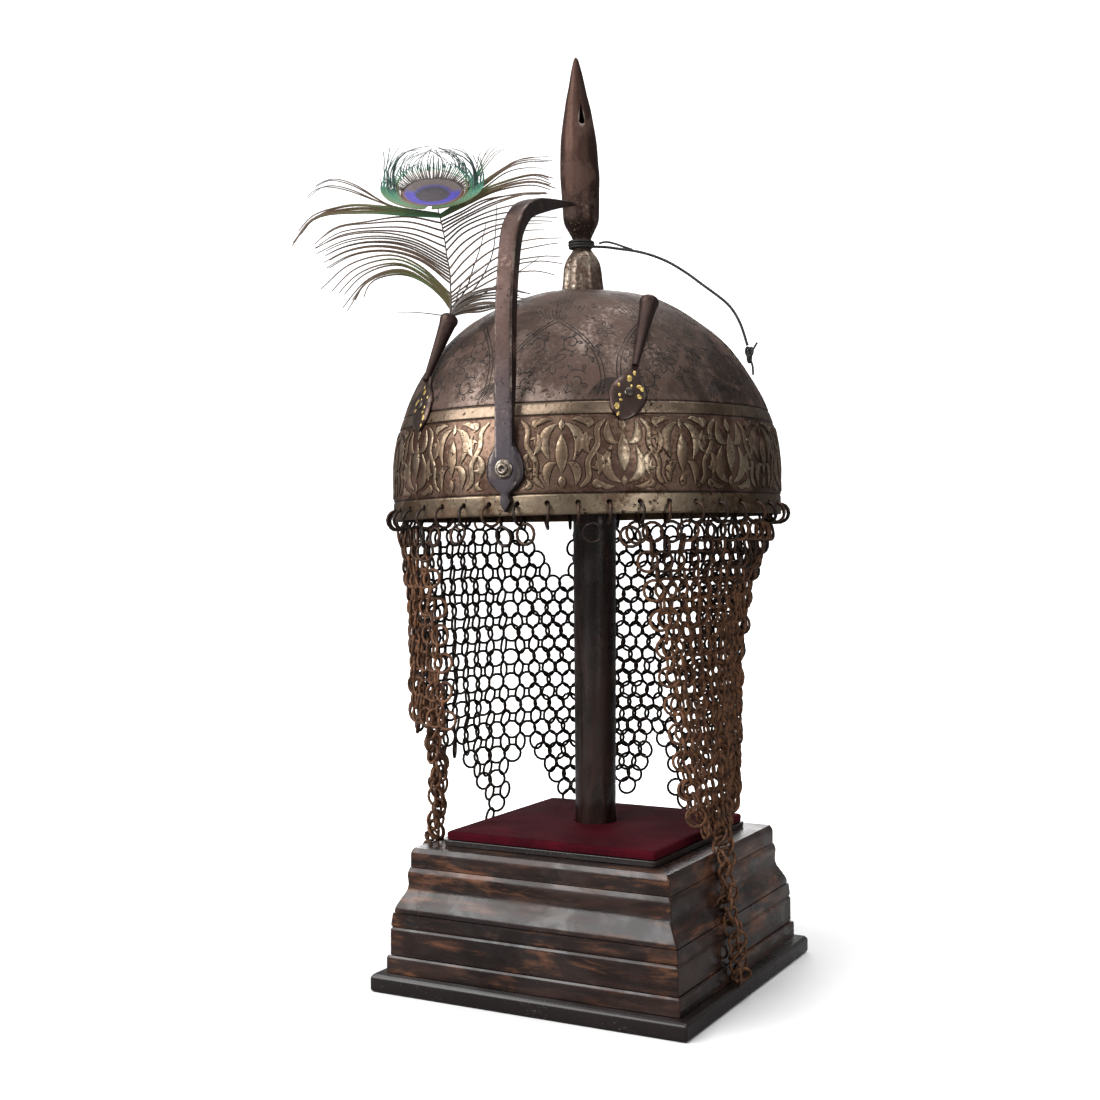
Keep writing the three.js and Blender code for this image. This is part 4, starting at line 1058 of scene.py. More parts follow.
def dome_etching(seed=11):
    """Pointed panels of scrolls and flowers round the dome, with fans of curved lines between them."""
    draw = random.Random(seed)
    made = []
    step = 360 / DOME_UNITS
    for k in range(DOME_UNITS):
        azimuth = (k + 0.35) * step
        for inset in ARCH_INSETS:
            arch = curve(DOME_ARCH - inset * ARCH_INWARDS, 5)
            for side in (1, -1):
                made.append(etched(arch * (side, 1), azimuth, 54, BOLD_ETCH_WIDTH))
        made += etched_flower(azimuth, 72, 7, 7, draw.uniform(0, 50))
        made += etched_flower(azimuth + step / 2, 88, 4.5, 6, draw.uniform(0, 50))
        for side in (1, -1):
            for share, aside, z, radius, start, lean, way, leaves in DOME_SCROLLS:
                at = azimuth + share * step + side * aside
                made += etched_scroll(at, z, radius, start + side * lean, side * way, leaves)
        for j in range(9):
            reach = 2.2 + 1.1 * j
            made.append(etched(arc((-reach, 0), (0, 4 + reach * 1.1), (reach, 0), 8), azimuth + step / 2, 55))
        for j in range(11):
            start = np.array((-11 + 2.2 * j, 0))
            made.append(etched(arc(start * 0.5, start * 0.9 + (0, 3), start + (0, 7.5), 6), azimuth, 94))
        for j in range(6):
            blade = curve([(-4 + 1.6 * j, 0), (-3.4 + 1.5 * j, 4), (-4.4 + 1.5 * j, 8)], 3)
            made.append(etched(blade, azimuth, 103 + 0.1 * j))
    return made


def make_skull(engraved, raised, line):
    """The shell is cut first, so that the ornament lies on it whole."""
    shell = piece("skull_shell", [skull_shell()], [engraved], "engraved_steel", ["skull"])
    cut(shell, rim_hole_cutters())
    spots = np.empty(len(shell.data.vertices) * 3)
    shell.data.vertices.foreach_get("co", spots)
    height = unseated(spots.reshape(-1, 3) / MM, HELMET)[:, 2]
    attribute = shell.data.attributes.new("height", "FLOAT", "POINT")
    attribute.data.foreach_set("value", height.astype(np.float32))
    smooth(shell, CUT_SHARP)
    piece("band_ornament", band_ornament(), [raised], "engraved_steel")
    piece("dome_etching", dome_etching(), [line], "engraved_steel", sharp=THIN_SHARP)


# The finial

COLLAR_OUTLINE = [
    (10.8, 117.4), (11, 119.4), (10.6, 122), (10.3, 125.4), (10, 128.6), (9.3, 131.8), (8, 134.8),
    (6.2, 137.4), (5, 139.2),
]
COLLAR_LOBES = {"count": 8, "depth": 0.032}
SPIKE_OUTLINE = [
    (4.7, 0), (4.7, 4.4), (5.2, 6.6), (7, 10.1), (9.1, 14.8), (9.7, 23.1), (10.3, 36.1), (10, 45),
    (9.2, 57.5), (7.1, 71.4), (4.8, 83.4), (2.4, 93.8), (1.2, 99), (0.3, 100.5),
]
SPIKE_INSIDE = [(0.3, 12), (7.4, 15.5), (9.1, 34), (7, 64), (0.5, 84)]
SPIKE_SLOT = {"azimuth": 38, "z": 65.6, "radius": 1.8, "point": 10}
SPIKE_FACETS = {"count": 14, "depth": 0.006}


def spike_slot():
    """A teardrop with its point up, through the spike's front wall."""
    lower = spiral((0, 0), SPIKE_SLOT["radius"], 200, 140 / 360, 10, 1)
    outline = np.vstack([lower, [(0, SPIKE_SLOT["point"])]])
    outline = evenly(np.vstack([outline, outline[:1]]), 28)[:-1]
    depth = np.array([1, 14])[:, None]
    height = SPIKE_SLOT["z"] + outline[None, :, 1]
    points = np.stack(np.broadcast_arrays(outline[None, :, 0], -depth, height), axis=-1)
    turn = frame_matrix(0, 0, 0, 0, 0, SPIKE_SLOT["azimuth"])
    return grid(points, loops=True, caps=True).seated(SPIKE @ turn)


def make_finial(engraved, rusty):
    lobes, depth = COLLAR_LOBES.values()
    collar = turned(curve(COLLAR_OUTLINE, 4), 160, lobes, depth).seated(HELMET)
    collar = collar.finished(0, height=COLLAR_ZONE)
    piece("finial_collar", [collar], [engraved], "engraved_steel", ["finial_base"])
    facets, depth = SPIKE_FACETS.values()
    outer = turned(curve(SPIKE_OUTLINE, 6), 112, facets, depth)
    outer.points += unit(outer.points * (1, 1, 0)) * hammered(outer.points, 11, 0.35, 5.2)[:, None]
    low = np.clip(1 - outer.points[:, 2] / 60, 0, 1)
    outer = outer.seated(SPIKE).finished(0, low=low)
    spike = piece("spike_shell", [outer], [rusty], "rusted_iron", ["spike"])
    cut(spike, [turned(curve(SPIKE_INSIDE, 5), 40).seated(SPIKE)])
    cut(spike, [spike_slot()])
    smooth(spike, CUT_SHARP)


# The nasal bar: its front and back faces by distance out from the skull's axis and height

NASAL_FRONT = [
    (103.2, 27), (102.8, 42), (100.9, 88.2), (98, 109.9), (92.8, 132.2), (85.6, 142.2), (77.5, 148.2),
    (66.8, 152.5), (54.6, 155.3), (33, 158.9), (10.4, 162.4),
]
NASAL_BACK = [
    (100.6, 27), (100.6, 34), (98.4, 48), (95.8, 66), (94.3, 88), (91.6, 108), (86.4, 127.5), (80.5, 136),
    (72.5, 142), (58.1, 147.2), (33.3, 154.6), (10.4, 160.6),
]
NASAL_WIDTH = 9
NASAL_TAPER = {"from": 58, "to": 10, "share": 0.22}
NASAL_STATIONS = 110
NASAL_FOOT = {"back": 100.4, "front": 102.9}
NASAL_FOOT_LEAF = [
    (0, 1.8), (2.8, 6.2), (2.3, 9.8), (5.4, 12.6), (8.7, 17), (9.2, 21.5), (8.3, 26.5), (5.6, 31.5),
    (3.6, 36.5),
]
BOLT_OUTLINE = [
    (4.6, -0.4), (4.6, 0.5), (3.6, 1.1), (2.9, 0.9), (2.7, 1.7), (2.1, 2.2), (1.3, 2.1), (0.9, 1.5),
    (0.2, 1.4),
]
BOLT = {"z": 21.5, "gap": 0.3, "hollow": 1.9}
BAR_SECTION = [(-1, -1), (1, -1), (1, 1), (-1, 1), (-1, -1)]


def nasal_bar():
    """The bar and its pointed tongue, with soft edges."""
    front = evenly(curve(NASAL_FRONT, 6), NASAL_STATIONS)
    back = evenly(curve(NASAL_BACK, 6), NASAL_STATIONS)
    reach = np.clip((NASAL_TAPER["from"] - front[:, 0]) / (NASAL_TAPER["from"] - NASAL_TAPER["to"]), 0, 1)
    half = NASAL_WIDTH / 2 * (1 - (1 - NASAL_TAPER["share"]) * reach)
    section = eased(np.array(BAR_SECTION), 0.35, 3)[1:-1]
    through = (section[None, :, 1:] + 1) / 2
    side_face = back[:, None] + (front - back)[:, None] * through
    across = half[:, None] * section[None, :, 0]
    points = np.stack([across, -side_face[..., 0], side_face[..., 1]], axis=-1)
    blued = np.clip(1 - (side_face[..., 1] - 30) / 60, 0, 1)
    corner = (np.abs(section[:, 0]) > 0.8) & (section[:, 1] > 0.8)
    return grid(points, loops=True, caps=True, blued=blued, edge=corner.astype(float))


def plate(rows, bevel, thick, place, **values):
    """A leaf-shaped plate from rows of half width and place along, with rounded edges and a crowned face."""
    rows = np.asarray(rows, float)
    half_section = np.array([(-1, 0), (-1, 0.55), (-1 + bevel, 1), (-0.5, 1.06)])
    section = np.vstack([half_section, [(0, 1.1)], half_section[::-1] * (-1, 1)])
    across = np.maximum(rows[:, :1], 0.15) * section[None, :, 0]
    along = np.broadcast_to(rows[:, 1:2], across.shape)
    lift = np.broadcast_to(thick * section[None, :, 1], across.shape)
    corner = (np.abs(section[:, 0]) > 0.7) & (section[:, 1] > 0.9)
    return grid(place(across, along, lift), loops=True, caps=True, edge=corner.astype(float), **values)


def make_nasal(forged, worn):
    leaf = curve(NASAL_FOOT_LEAF, 5)
    thick = NASAL_FOOT["front"] - NASAL_FOOT["back"]

    def on_foot(across, along, lift):
        return np.stack([across, -(NASAL_FOOT["back"] + lift), along], axis=-1)

    foot = plate(leaf, 0.18, thick, on_foot, blued=1.0)
    piece("nasal", [nasal_bar().seated(NASAL), foot.seated(NASAL)], [forged], "forged_iron", ["nasal_bar"])
    bolt = turned(eased(BOLT_OUTLINE, 0.3), 48)
    radius = np.hypot(bolt.points[:, 0], bolt.points[:, 1])
    bolt.values["sunk"] = np.clip(BOLT["hollow"] - radius, 0, 1)
    seat = frame_matrix(0, -(NASAL_FOOT["front"] + BOLT["gap"]), BOLT["z"], 90, 0, 0)
    piece("nasal_bolt_head", [bolt.seated(NASAL @ seat)], [worn], "worn_steel", ["nasal_bolt"])


# The plume sockets: a leaf plate on the skull and a hollow cone that stands away from it

SOCKET = {
    "azimuth": 32.3, "z": 42.5, "turn": 6, "rise": 26.2,
    "length": 30, "round": 93, "lean": 0.322, "lift": 0.3,
}
SOCKET_PLATE = 1.3
SOCKET_LEAF = [(0, 0), (3.8, 2.6), (6.4, 6), (8.75, 13), (8, 17.5), (6.2, 21), (3.6, 25.5), (1.9, 30.5)]
SOCKET_NECK = {"azimuth": 38.3, "z": 68.7, "lift": 2.3}
SOCKET_MOUTH = (54, -46.5, 102.5)
SOCKET_CONE = [
    (1.5, -1.5), (1.7, 2), (2.3, 12), (3.3, 26), (4.2, 36), (4.75, 38), (4.7, 39.4), (4.2, 39.9), (3.4, 39.7),
    (3.1, 38), (0.8, 10), (0.2, 9),
]
RIVET = {"along": 14.5, "radius": 2.35, "height": 0.8}
GILT_FLECKS = [
    # across the leaf, along it, long, wide
    (0.4, 25.2, 2.6, 1.5), (-1.4, 21.4, 3.6, 2.6), (4.2, 18.6, 2.2, 3.4), (5.4, 17.6, 1.4, 2.2),
    (-5.4, 16.6, 2, 1.3), (0.3, 18, 1.5, 1), (4.9, 13.8, 2.2, 2.2), (-3.9, 11.8, 1.8, 1.4),
    (-2.7, 9.4, 1.5, 1.6), (-3.6, 6, 3.6, 2.4), (-2.1, 2.4, 2.2, 1.2),
]
GILT_EDGE = ((1, 0), (1, 0.08), (0.8, 0.16), (0.2, 0.18))


def on_socket_leaf(side, across, along, lift):
    """A point on a socket's leaf: across it, along it from its tip, and lifted off the skull."""
    share = np.asarray(along) / SOCKET["length"]
    straight = math.sqrt(1 - SOCKET["lean"] ** 2)
    azimuth = SOCKET["azimuth"] + SOCKET["turn"] * share + np.degrees(across * straight / SOCKET["round"])
    z = SOCKET["z"] + SOCKET["rise"] * share - across * SOCKET["lean"]
    return on_skull(side * azimuth, z, SOCKET["lift"] + lift)


def frame_along(foot, direction):
    """A frame whose Z looks along a direction, at a foot."""
    turn = Vector((0, 0, 1)).rotation_difference(Vector(direction)).to_matrix().to_4x4()
    return np.array(Matrix.Translation(Vector(foot)) @ turn)


def socket_axis(side):
    neck = on_skull(side * SOCKET_NECK["azimuth"], SOCKET_NECK["z"], SOCKET_NECK["lift"])
    mouth = np.array((side * SOCKET_MOUTH[0], SOCKET_MOUTH[1], SOCKET_MOUTH[2]))
    return neck, mouth, unit(mouth - neck)


def gilt_fleck(side, fleck, seed):
    """A thin ragged patch of gilding."""
    middle_across, middle_along, long, wide = fleck
    draw = random.Random(seed)
    angle = np.arange(16) * 2 * math.pi / 16
    ragged = np.array([draw.uniform(0.75, 1.15) for _ in angle])
    crown = SOCKET_PLATE * 1.04 - 0.02
    rows = []
    for share, lift in GILT_EDGE:
        across = middle_across + wide / 2 * share * ragged * np.cos(angle)
        along = middle_along + long / 2 * share * ragged * np.sin(angle)
        rows.append(on_socket_leaf(side, across, along, crown + lift))
    return grid(np.array(rows), loops=True, caps=True).seated(HELMET)


def make_socket(side, name, forged, gilt, worn):
    leaf = plate(curve(SOCKET_LEAF, 5), 0.14, SOCKET_PLATE, lambda *at: on_socket_leaf(side, *at))
    neck, _, direction = socket_axis(side)
    cone = turned(eased(SOCKET_CONE, 1.2), 48).seated(frame_along(neck, direction))
    flecks = [gilt_fleck(side, fleck, k).finished(1) for k, fleck in enumerate(GILT_FLECKS)]
    shapes = [leaf.seated(HELMET), cone.seated(HELMET)] + flecks
    piece("socket_" + name, shapes, [forged, gilt], "forged_iron", ["plume_socket_" + name])
    seat = SOCKET_PLATE * 1.1 + 0.1
    foot = on_socket_leaf(side, 0, RIVET["along"], seat)
    up = unit(on_socket_leaf(side, 0, RIVET["along"], seat + 1) - foot)
    radius, height = RIVET["radius"], RIVET["height"]
    outline = [(radius, -0.2), (radius, 0.2), (radius * 0.8, height * 0.8), (0.4, height), (0.1, height)]
    head = turned(eased(outline, 0.3), 32).seated(HELMET @ frame_along(foot, up))
    head.values["sunk"] = 0.75
    piece("rivet_" + name, [head], [worn], "worn_steel", ["socket_rivet_" + name])


# The mail. Each column of the curtain has its azimuth at the rim and at its foot, the height of its foot, how
# far in the foot hangs, and how far the fold stands out.

MAIL_RADIUS = 98.5
MAIL_DROP = 3.5
MAIL_BAND = 4
MAIL_ROWS = 6
MOST_RING_ROWS = 26
ROW_SPARE = 0.15
MAIL_SETTLE = 31
MAIL_SPREAD = 0.7
MAIL_TABLE = np.array([
    # top, foot, z, inset, fold
    (36, 64, 93, 24, 0), (46, 70, 88, 24, 2.5), (58, 78, 82, 24, -1.5), (70, 86, 84, 24, 2.5),
    (82, 95, 86, 24, -1.5), (94, 104, 92, 24, 2.5), (107, 112, 90, 23, -1), (120, 121, 102, 21, 0),
    (133, 135, 80, 17, 0), (147, 150, 112, 13.5, 0), (161, 164.7, 71.5, 11, 0), (174, 177.7, 119, 10.5, 0),
    (186, 188, 72, 10, 0), (197, 196.6, 111, 10, 0), (209, 207.8, 70.5, 10, 0), (225, 223, 112, 10, 0),
    (240, 241.5, 67.5, 10, 0), (254, 256, 114.6, 10, 0), (268, 271, 95, 10, 0), (280, 283, 135, 10.3, 0),
    (291, 293, 124, 10.6, 1), (302, 303, 139, 11, 2.5), (313, 317, 134, 12, -1), (324, 332, 136, 13, 0),
])
# The odd columns are notches, one row shorter.
COLUMN_ROWS = MAIL_ROWS - np.arange(len(MAIL_TABLE)) % 2
MAIL_TEAR = {"from": 209, "to": 219, "foot": 200, "slant": 0.5, "level": 213}
RING = {"radius": 4.75, "wire": 0.8, "lean": 30}
GATHERED = {"from": 96, "to": 58, "lean": 66}
RING_PITCH = 360 / 66
ROW_PITCH = 6.9
RIM_RING = {"radius": 5.15, "wire": 0.6, "out": 99.2, "z": 0.4}
# Each row of a tail gives its place, width and thickness.
RIGHT_TAIL = [
    (66, -7.5, 94, 17, 8), (71, -9, 78, 14, 7), (74, -11, 69, 11, 6), (76, -14, 48, 9.5, 6),
    (81, -17, 36, 9, 5.5), (82, -17, 25, 8, 5.5), (83, -16, 13, 6, 5),
]
LEFT_TAIL = [
    (-71, -50, 143, 17, 13), (-69, -48, 125, 16, 10), (-68, -46, 100, 15, 8), (-71, -44.5, 80, 14, 7),
    (-75, -43, 67, 12, 5.5), (-76, -43, 52, 10, 5),
]
# Each tail has its rows, the azimuth that it faces and how rusty it is.
TAILS = {"right": (RIGHT_TAIL, 97, 0.8), "left": (LEFT_TAIL, -62, 0.7)}
TAIL_PITCH = 5.2
TAIL_LEAN = 35
FRONT_ROW = {"drop": 8.4, "out": 98.2, "lost": (3, 6)}


def rim_height(azimuth):
    """The rim's height in the world at an azimuth of the helmet."""
    return seated(around(azimuth, SKULL_RADIUS, 0), HELMET)[..., 2]


def column_value(azimuth, kind):
    return np.interp(azimuth, MAIL_TABLE[:, 0], MAIL_TABLE[:, kind])


def on_mail(top_azimuth, z, rough=0.0):
    """A point of the curtain, and the azimuth that it faces."""
    top = rim_height(top_azimuth) - MAIL_DROP - MAIL_BAND
    step = np.interp(top_azimuth, MAIL_TABLE[:, 0], (top - MAIL_TABLE[:, 2]) / COLUMN_ROWS)
    fall = max(0.0, (top - z) / step) / MAIL_ROWS
    drift = column_value(top_azimuth, 1) - top_azimuth
    azimuth = top_azimuth + drift * fall**MAIL_SPREAD + HELMET_SEAT["turn"]
    settled = 1 - math.exp(-(HELMET_SEAT["z"] - z) / MAIL_SETTLE)
    out = MAIL_RADIUS - column_value(top_azimuth, 3) * settled + column_value(top_azimuth, 4) * fall + rough
    return around(azimuth, out, z) + HELMET_AXIS, azimuth, fall * MAIL_ROWS


def foot_row(top_azimuth):
    """How many rows of the table's lattice hang at an azimuth."""
    return np.interp(top_azimuth, MAIL_TABLE[:, 0], COLUMN_ROWS)


def rust_share(top_azimuth, z, draw):
    """The front flaps are rusty and the back is black, and rings near the change are either."""
    right = np.clip((118 - top_azimuth) / 20, 0, 1)
    left = np.clip((top_azimuth - 284) / 20, 0, 1)
    lower = np.clip((236 - z) / 40, 0.55, 1)
    return float(np.clip(max(right, left) * lower + draw.uniform(-0.3, 0.3), 0, 1))


def curtain_rings(draw):
    """The curtain's rings, row by row; rings of one row lean one way and those of the next the other."""
    first, last = MAIL_TABLE[0, 0], MAIL_TABLE[-1, 0]
    for row in range(MOST_RING_ROWS):
        shift = RING_PITCH / 2 * (row % 2)
        for azimuth in np.arange(first + shift, last, RING_PITCH):
            z = rim_height(azimuth) - MAIL_DROP - RING["radius"] - row * ROW_PITCH
            middle, faced, reached = on_mail(azimuth, z, draw.gauss(0, 0.5))
            if reached > foot_row(azimuth) + ROW_SPARE:
                continue
            torn_to = MAIL_TEAR["to"] + MAIL_TEAR["slant"] * (z - MAIL_TEAR["level"])
            if MAIL_TEAR["from"] < azimuth < torn_to and z > MAIL_TEAR["foot"]:
                continue
            fold = np.interp(azimuth, (GATHERED["to"], GATHERED["from"]), (GATHERED["lean"], RING["lean"]))
            lean = fold * (1 if row % 2 else -0.55) + draw.gauss(0, 6)
            middle = middle + np.array([draw.gauss(0, 0.25) for _ in range(3)])
            yield middle, around(faced + lean, 1, draw.gauss(0.06, 0.12)), rust_share(azimuth, z, draw)


def tail_rings(rows, face, rust, draw):
    """A narrow strip of gathered rings down a tail."""
    rows = evenly(curve(rows, 6), int(length_of(np.array(rows)[:, :3]) / TAIL_PITCH))
    looks, along = around(face, 1, 0), around(face + 90, 1, 0)
    for k, (x, y, z, width, thick) in enumerate(rows):
        room = max(0.0, width / 2 - RING["radius"])
        count = max(2 if k % 2 else 1, round(width / TAIL_PITCH))
        for j in range(count):
            aside = 0 if count == 1 else room * (2 * j / (count - 1) - 1)
            deep = draw.uniform(-0.5, 0.5) * max(0.0, thick - 3)
            middle = np.array((x, y, z)) + along * (aside + draw.gauss(0, 0.5)) + looks * deep
            lean = TAIL_LEAN if (k + j) % 2 else -TAIL_LEAN
            normal = around(face + lean + draw.gauss(0, 14), 1, draw.gauss(0, 0.3))
            yield middle, normal, float(np.clip(rust + draw.uniform(-0.25, 0.25), 0, 1))


def rim_rings(numbers, draw):
    """Rings through the rim's holes, each in an upright plane across the rim."""
    for k in numbers:
        azimuth = (k + 0.5) * 360 / RIM_HOLES["count"]
        middle = seated(around(azimuth, RIM_RING["out"] + draw.gauss(0, 0.25), RIM_RING["z"]), HELMET)
        normal = around(azimuth + 90 + HELMET_SEAT["turn"] + draw.gauss(0, 12), 1, draw.gauss(0, 0.12))
        yield middle, normal, draw.uniform(0.0, 0.45)


def front_row_rings(draw):
    """The one row over the face hangs between the rim rings; two of its rings are lost."""
    step = 360 / RIM_HOLES["count"]
    for k, azimuth in enumerate(np.arange(-4 * step, 4.5 * step, step)):
        if k in FRONT_ROW["lost"]:
            continue
        at = azimuth + draw.gauss(0, 1)
        z = rim_height(at) - FRONT_ROW["drop"] + draw.gauss(0, 0.6)
        middle = around(at + HELMET_SEAT["turn"], FRONT_ROW["out"], z) + HELMET_AXIS
        normal = around(at + HELMET_SEAT["turn"] + draw.gauss(0, 22), 1, draw.gauss(0, 0.25))
        yield middle, normal, draw.uniform(0.0, 0.6)


def make_mail(iron):
    draw = random.Random(41)
    front = list(range(4)) + list(range(40, 44))
    behind = [k for k in range(RIM_HOLES["count"]) if k not in front]
    curtain = [list(curtain_rings(draw))]
    tails = [list(tail_rings(*TAILS[side], draw)) for side in ("right", "left")]
    tails.append(list(rim_rings(behind, draw)))
    over_face = [list(front_row_rings(draw)), list(rim_rings(front, draw))]
    for name, sets, node_name in (
        ("mail_curtain", curtain, "mail_aventail"),
        ("mail_tails_and_rim_rings", tails, "mail_aventail"),
        ("mail_over_face", over_face, "mail_front_row"),
    ):
        shapes = []
        for rings in sets:
            middles, normals, rust = zip(*rings)
            sizes = [RING["radius"] * draw.gauss(1, 0.025) for _ in middles]
            shapes.append(ring_shapes(middles, normals, sizes, RING["wire"], rust=np.array(rust)))
        piece(name, shapes, [iron], "mail_iron", [node_name], sharp=THIN_SHARP)


# The cord: the same route as its solid, by distance out from the helmet's upright axis and height

CORD_AZIMUTH = 110
CORD_DIAMETER = 1.4
TURNS_DIAMETER = 1.55
CORD_ROUTE = [
    (5.95, 375.6), (11, 375.2), (17.6, 374.1), (22.8, 373.3), (27.9, 372.2), (33, 370.7), (38.4, 368.6),
    (43.5, 366.1), (48.7, 362.9), (53.9, 359.3), (58.9, 355.4), (63.8, 351.7), (68.6, 348), (73.2, 343.9),
    (76.6, 339.4), (79.3, 334.2), (81.2, 328.9), (83.05, 322.6),
]
CORD_LAY = 3.2
CORD_STEP = 0.45
LAID_SWELL = 1.12
LOOSE_SHARE = 0.9
KNOT = {"out": 84, "z": 318.4, "radius": 1.8, "tall": 2.5}
KNOT_TAILS = [[(84.6, 319.2), (86.3, 321.2), (87.9, 324)], [(84.2, 316.5), (85.6, 312), (85.9, 307.5)]]
WRAP = {"radius": 6.2, "from": 1.0, "to": 4.4, "turns": 2.6, "wave": 0.35}
SECOND_STRAND = [(6.6, 377.4), (10.5, 378), (15, 376.9), (19.5, 375.2), (24, 373.6)]


def on_cord_plane(points):
    points = np.asarray(points, float)
    return around(CORD_AZIMUTH, points[:, 0], points[:, 1]) + HELMET_AXIS


def laid_cord(path, diameter, sides=12):
    """A cord of two twisted strands: its section is a little flat, and turns as it goes."""
    path = evenly(path, max(8, int(length_of(path) / CORD_STEP)))
    shape = tube(path, diameter / 2, sides)
    twist = np.linspace(0, length_of(path), len(path))[:, None] * 2 * math.pi / CORD_LAY
    turn = np.arange(sides)[None, :] * 2 * math.pi / sides
    waist = 1 - 0.2 * np.cos(turn - twist) ** 2
    middle = np.repeat(path[:, None], sides, axis=1).reshape(-1, 3)
    shape.points = middle + (shape.points - middle) * waist.reshape(-1, 1)
    return shape


def make_cord(waxed):
    route = curve(on_cord_plane(CORD_ROUTE), 4)
    run = laid_cord(route, CORD_DIAMETER * LAID_SWELL)
    cord = piece("cord_run", [run], [waxed], "waxed_cord", ["cord"], sharp=THIN_SHARP)
    turn = np.linspace(0, 2 * math.pi, 61)[:-1]
    sideways = np.sin(turn) + 2 * np.sin(2 * turn)
    upwards = np.cos(turn) - 2 * np.cos(2 * turn)
    trefoil = np.stack([sideways, upwards, -np.sin(3 * turn)], axis=-1)
    aside, away = around(CORD_AZIMUTH, 1, 0), around(CORD_AZIMUTH + 90, 1, 0)
    trefoil = trefoil @ np.stack([aside, (0, 0, KNOT["tall"]), away]) * KNOT["radius"] / 3
    middle = on_cord_plane([(KNOT["out"], KNOT["z"])])[0]
    knot = tube(np.vstack([trefoil, trefoil[:2]]) + middle, CORD_DIAMETER / 2, 10)
    tails = [laid_cord(curve(on_cord_plane(points), 6), CORD_DIAMETER * LOOSE_SHARE) for points in KNOT_TAILS]
    shapes = [knot] + tails
    knot_piece = piece("cord_end_knot", shapes, [waxed], "waxed_cord", ["cord_knot"], sharp=THIN_SHARP)
    share = np.linspace(0, 1, 160)
    angle = CORD_AZIMUTH + (share - 1) * WRAP["turns"] * 360
    rise = WRAP["from"] + (WRAP["to"] - WRAP["from"]) * (1 - share)
    helix = seated(around(angle, WRAP["radius"] + WRAP["wave"] * np.sin(share * 19), rise), SPIKE)
    lead = route[0] - unit(route[1] - route[0]) * 0.4
    turns = [laid_cord(curve(np.vstack([helix[:-6], lead]), 2), TURNS_DIAMETER)]
    strand = curve(on_cord_plane(SECOND_STRAND), 5)
    turns.append(laid_cord(strand, CORD_DIAMETER * LOOSE_SHARE))
    piece("cord_turns", turns, [waxed], "waxed_cord", ["cord_wrap"], sharp=THIN_SHARP)
    length_of(route) * MM


# The feather: across and up from the left socket's mouth, and back away from its front

FEATHER_FACE = 26.1
QUILL = [(0, 0), (0.5, 4), (0.2, 21.9), (-1.5, 32), (-2.8, 42.2), (-4.5, 50), (-6.2, 57)]
QUILL_DEPTHS = [22, 11]
QUILL_RADII = [(-10, 1.0), (0, 0.8), (12, 0.42), (60, 0.3)]
QUILL_REACH = 5
BARB_WIDTH = 1.4
SLIVER_FACES = [(0, 1, 3), (1, 2, 3), (2, 0, 3), (0, 2, 1)]
EYE = {"across": -8.5, "up": 63.9, "tilt": 40, "radius": 23.5, "disc": 0.66, "dish": 4.5}
EYE_RING = {"from": 0.72, "to": 1.1, "count": 20}
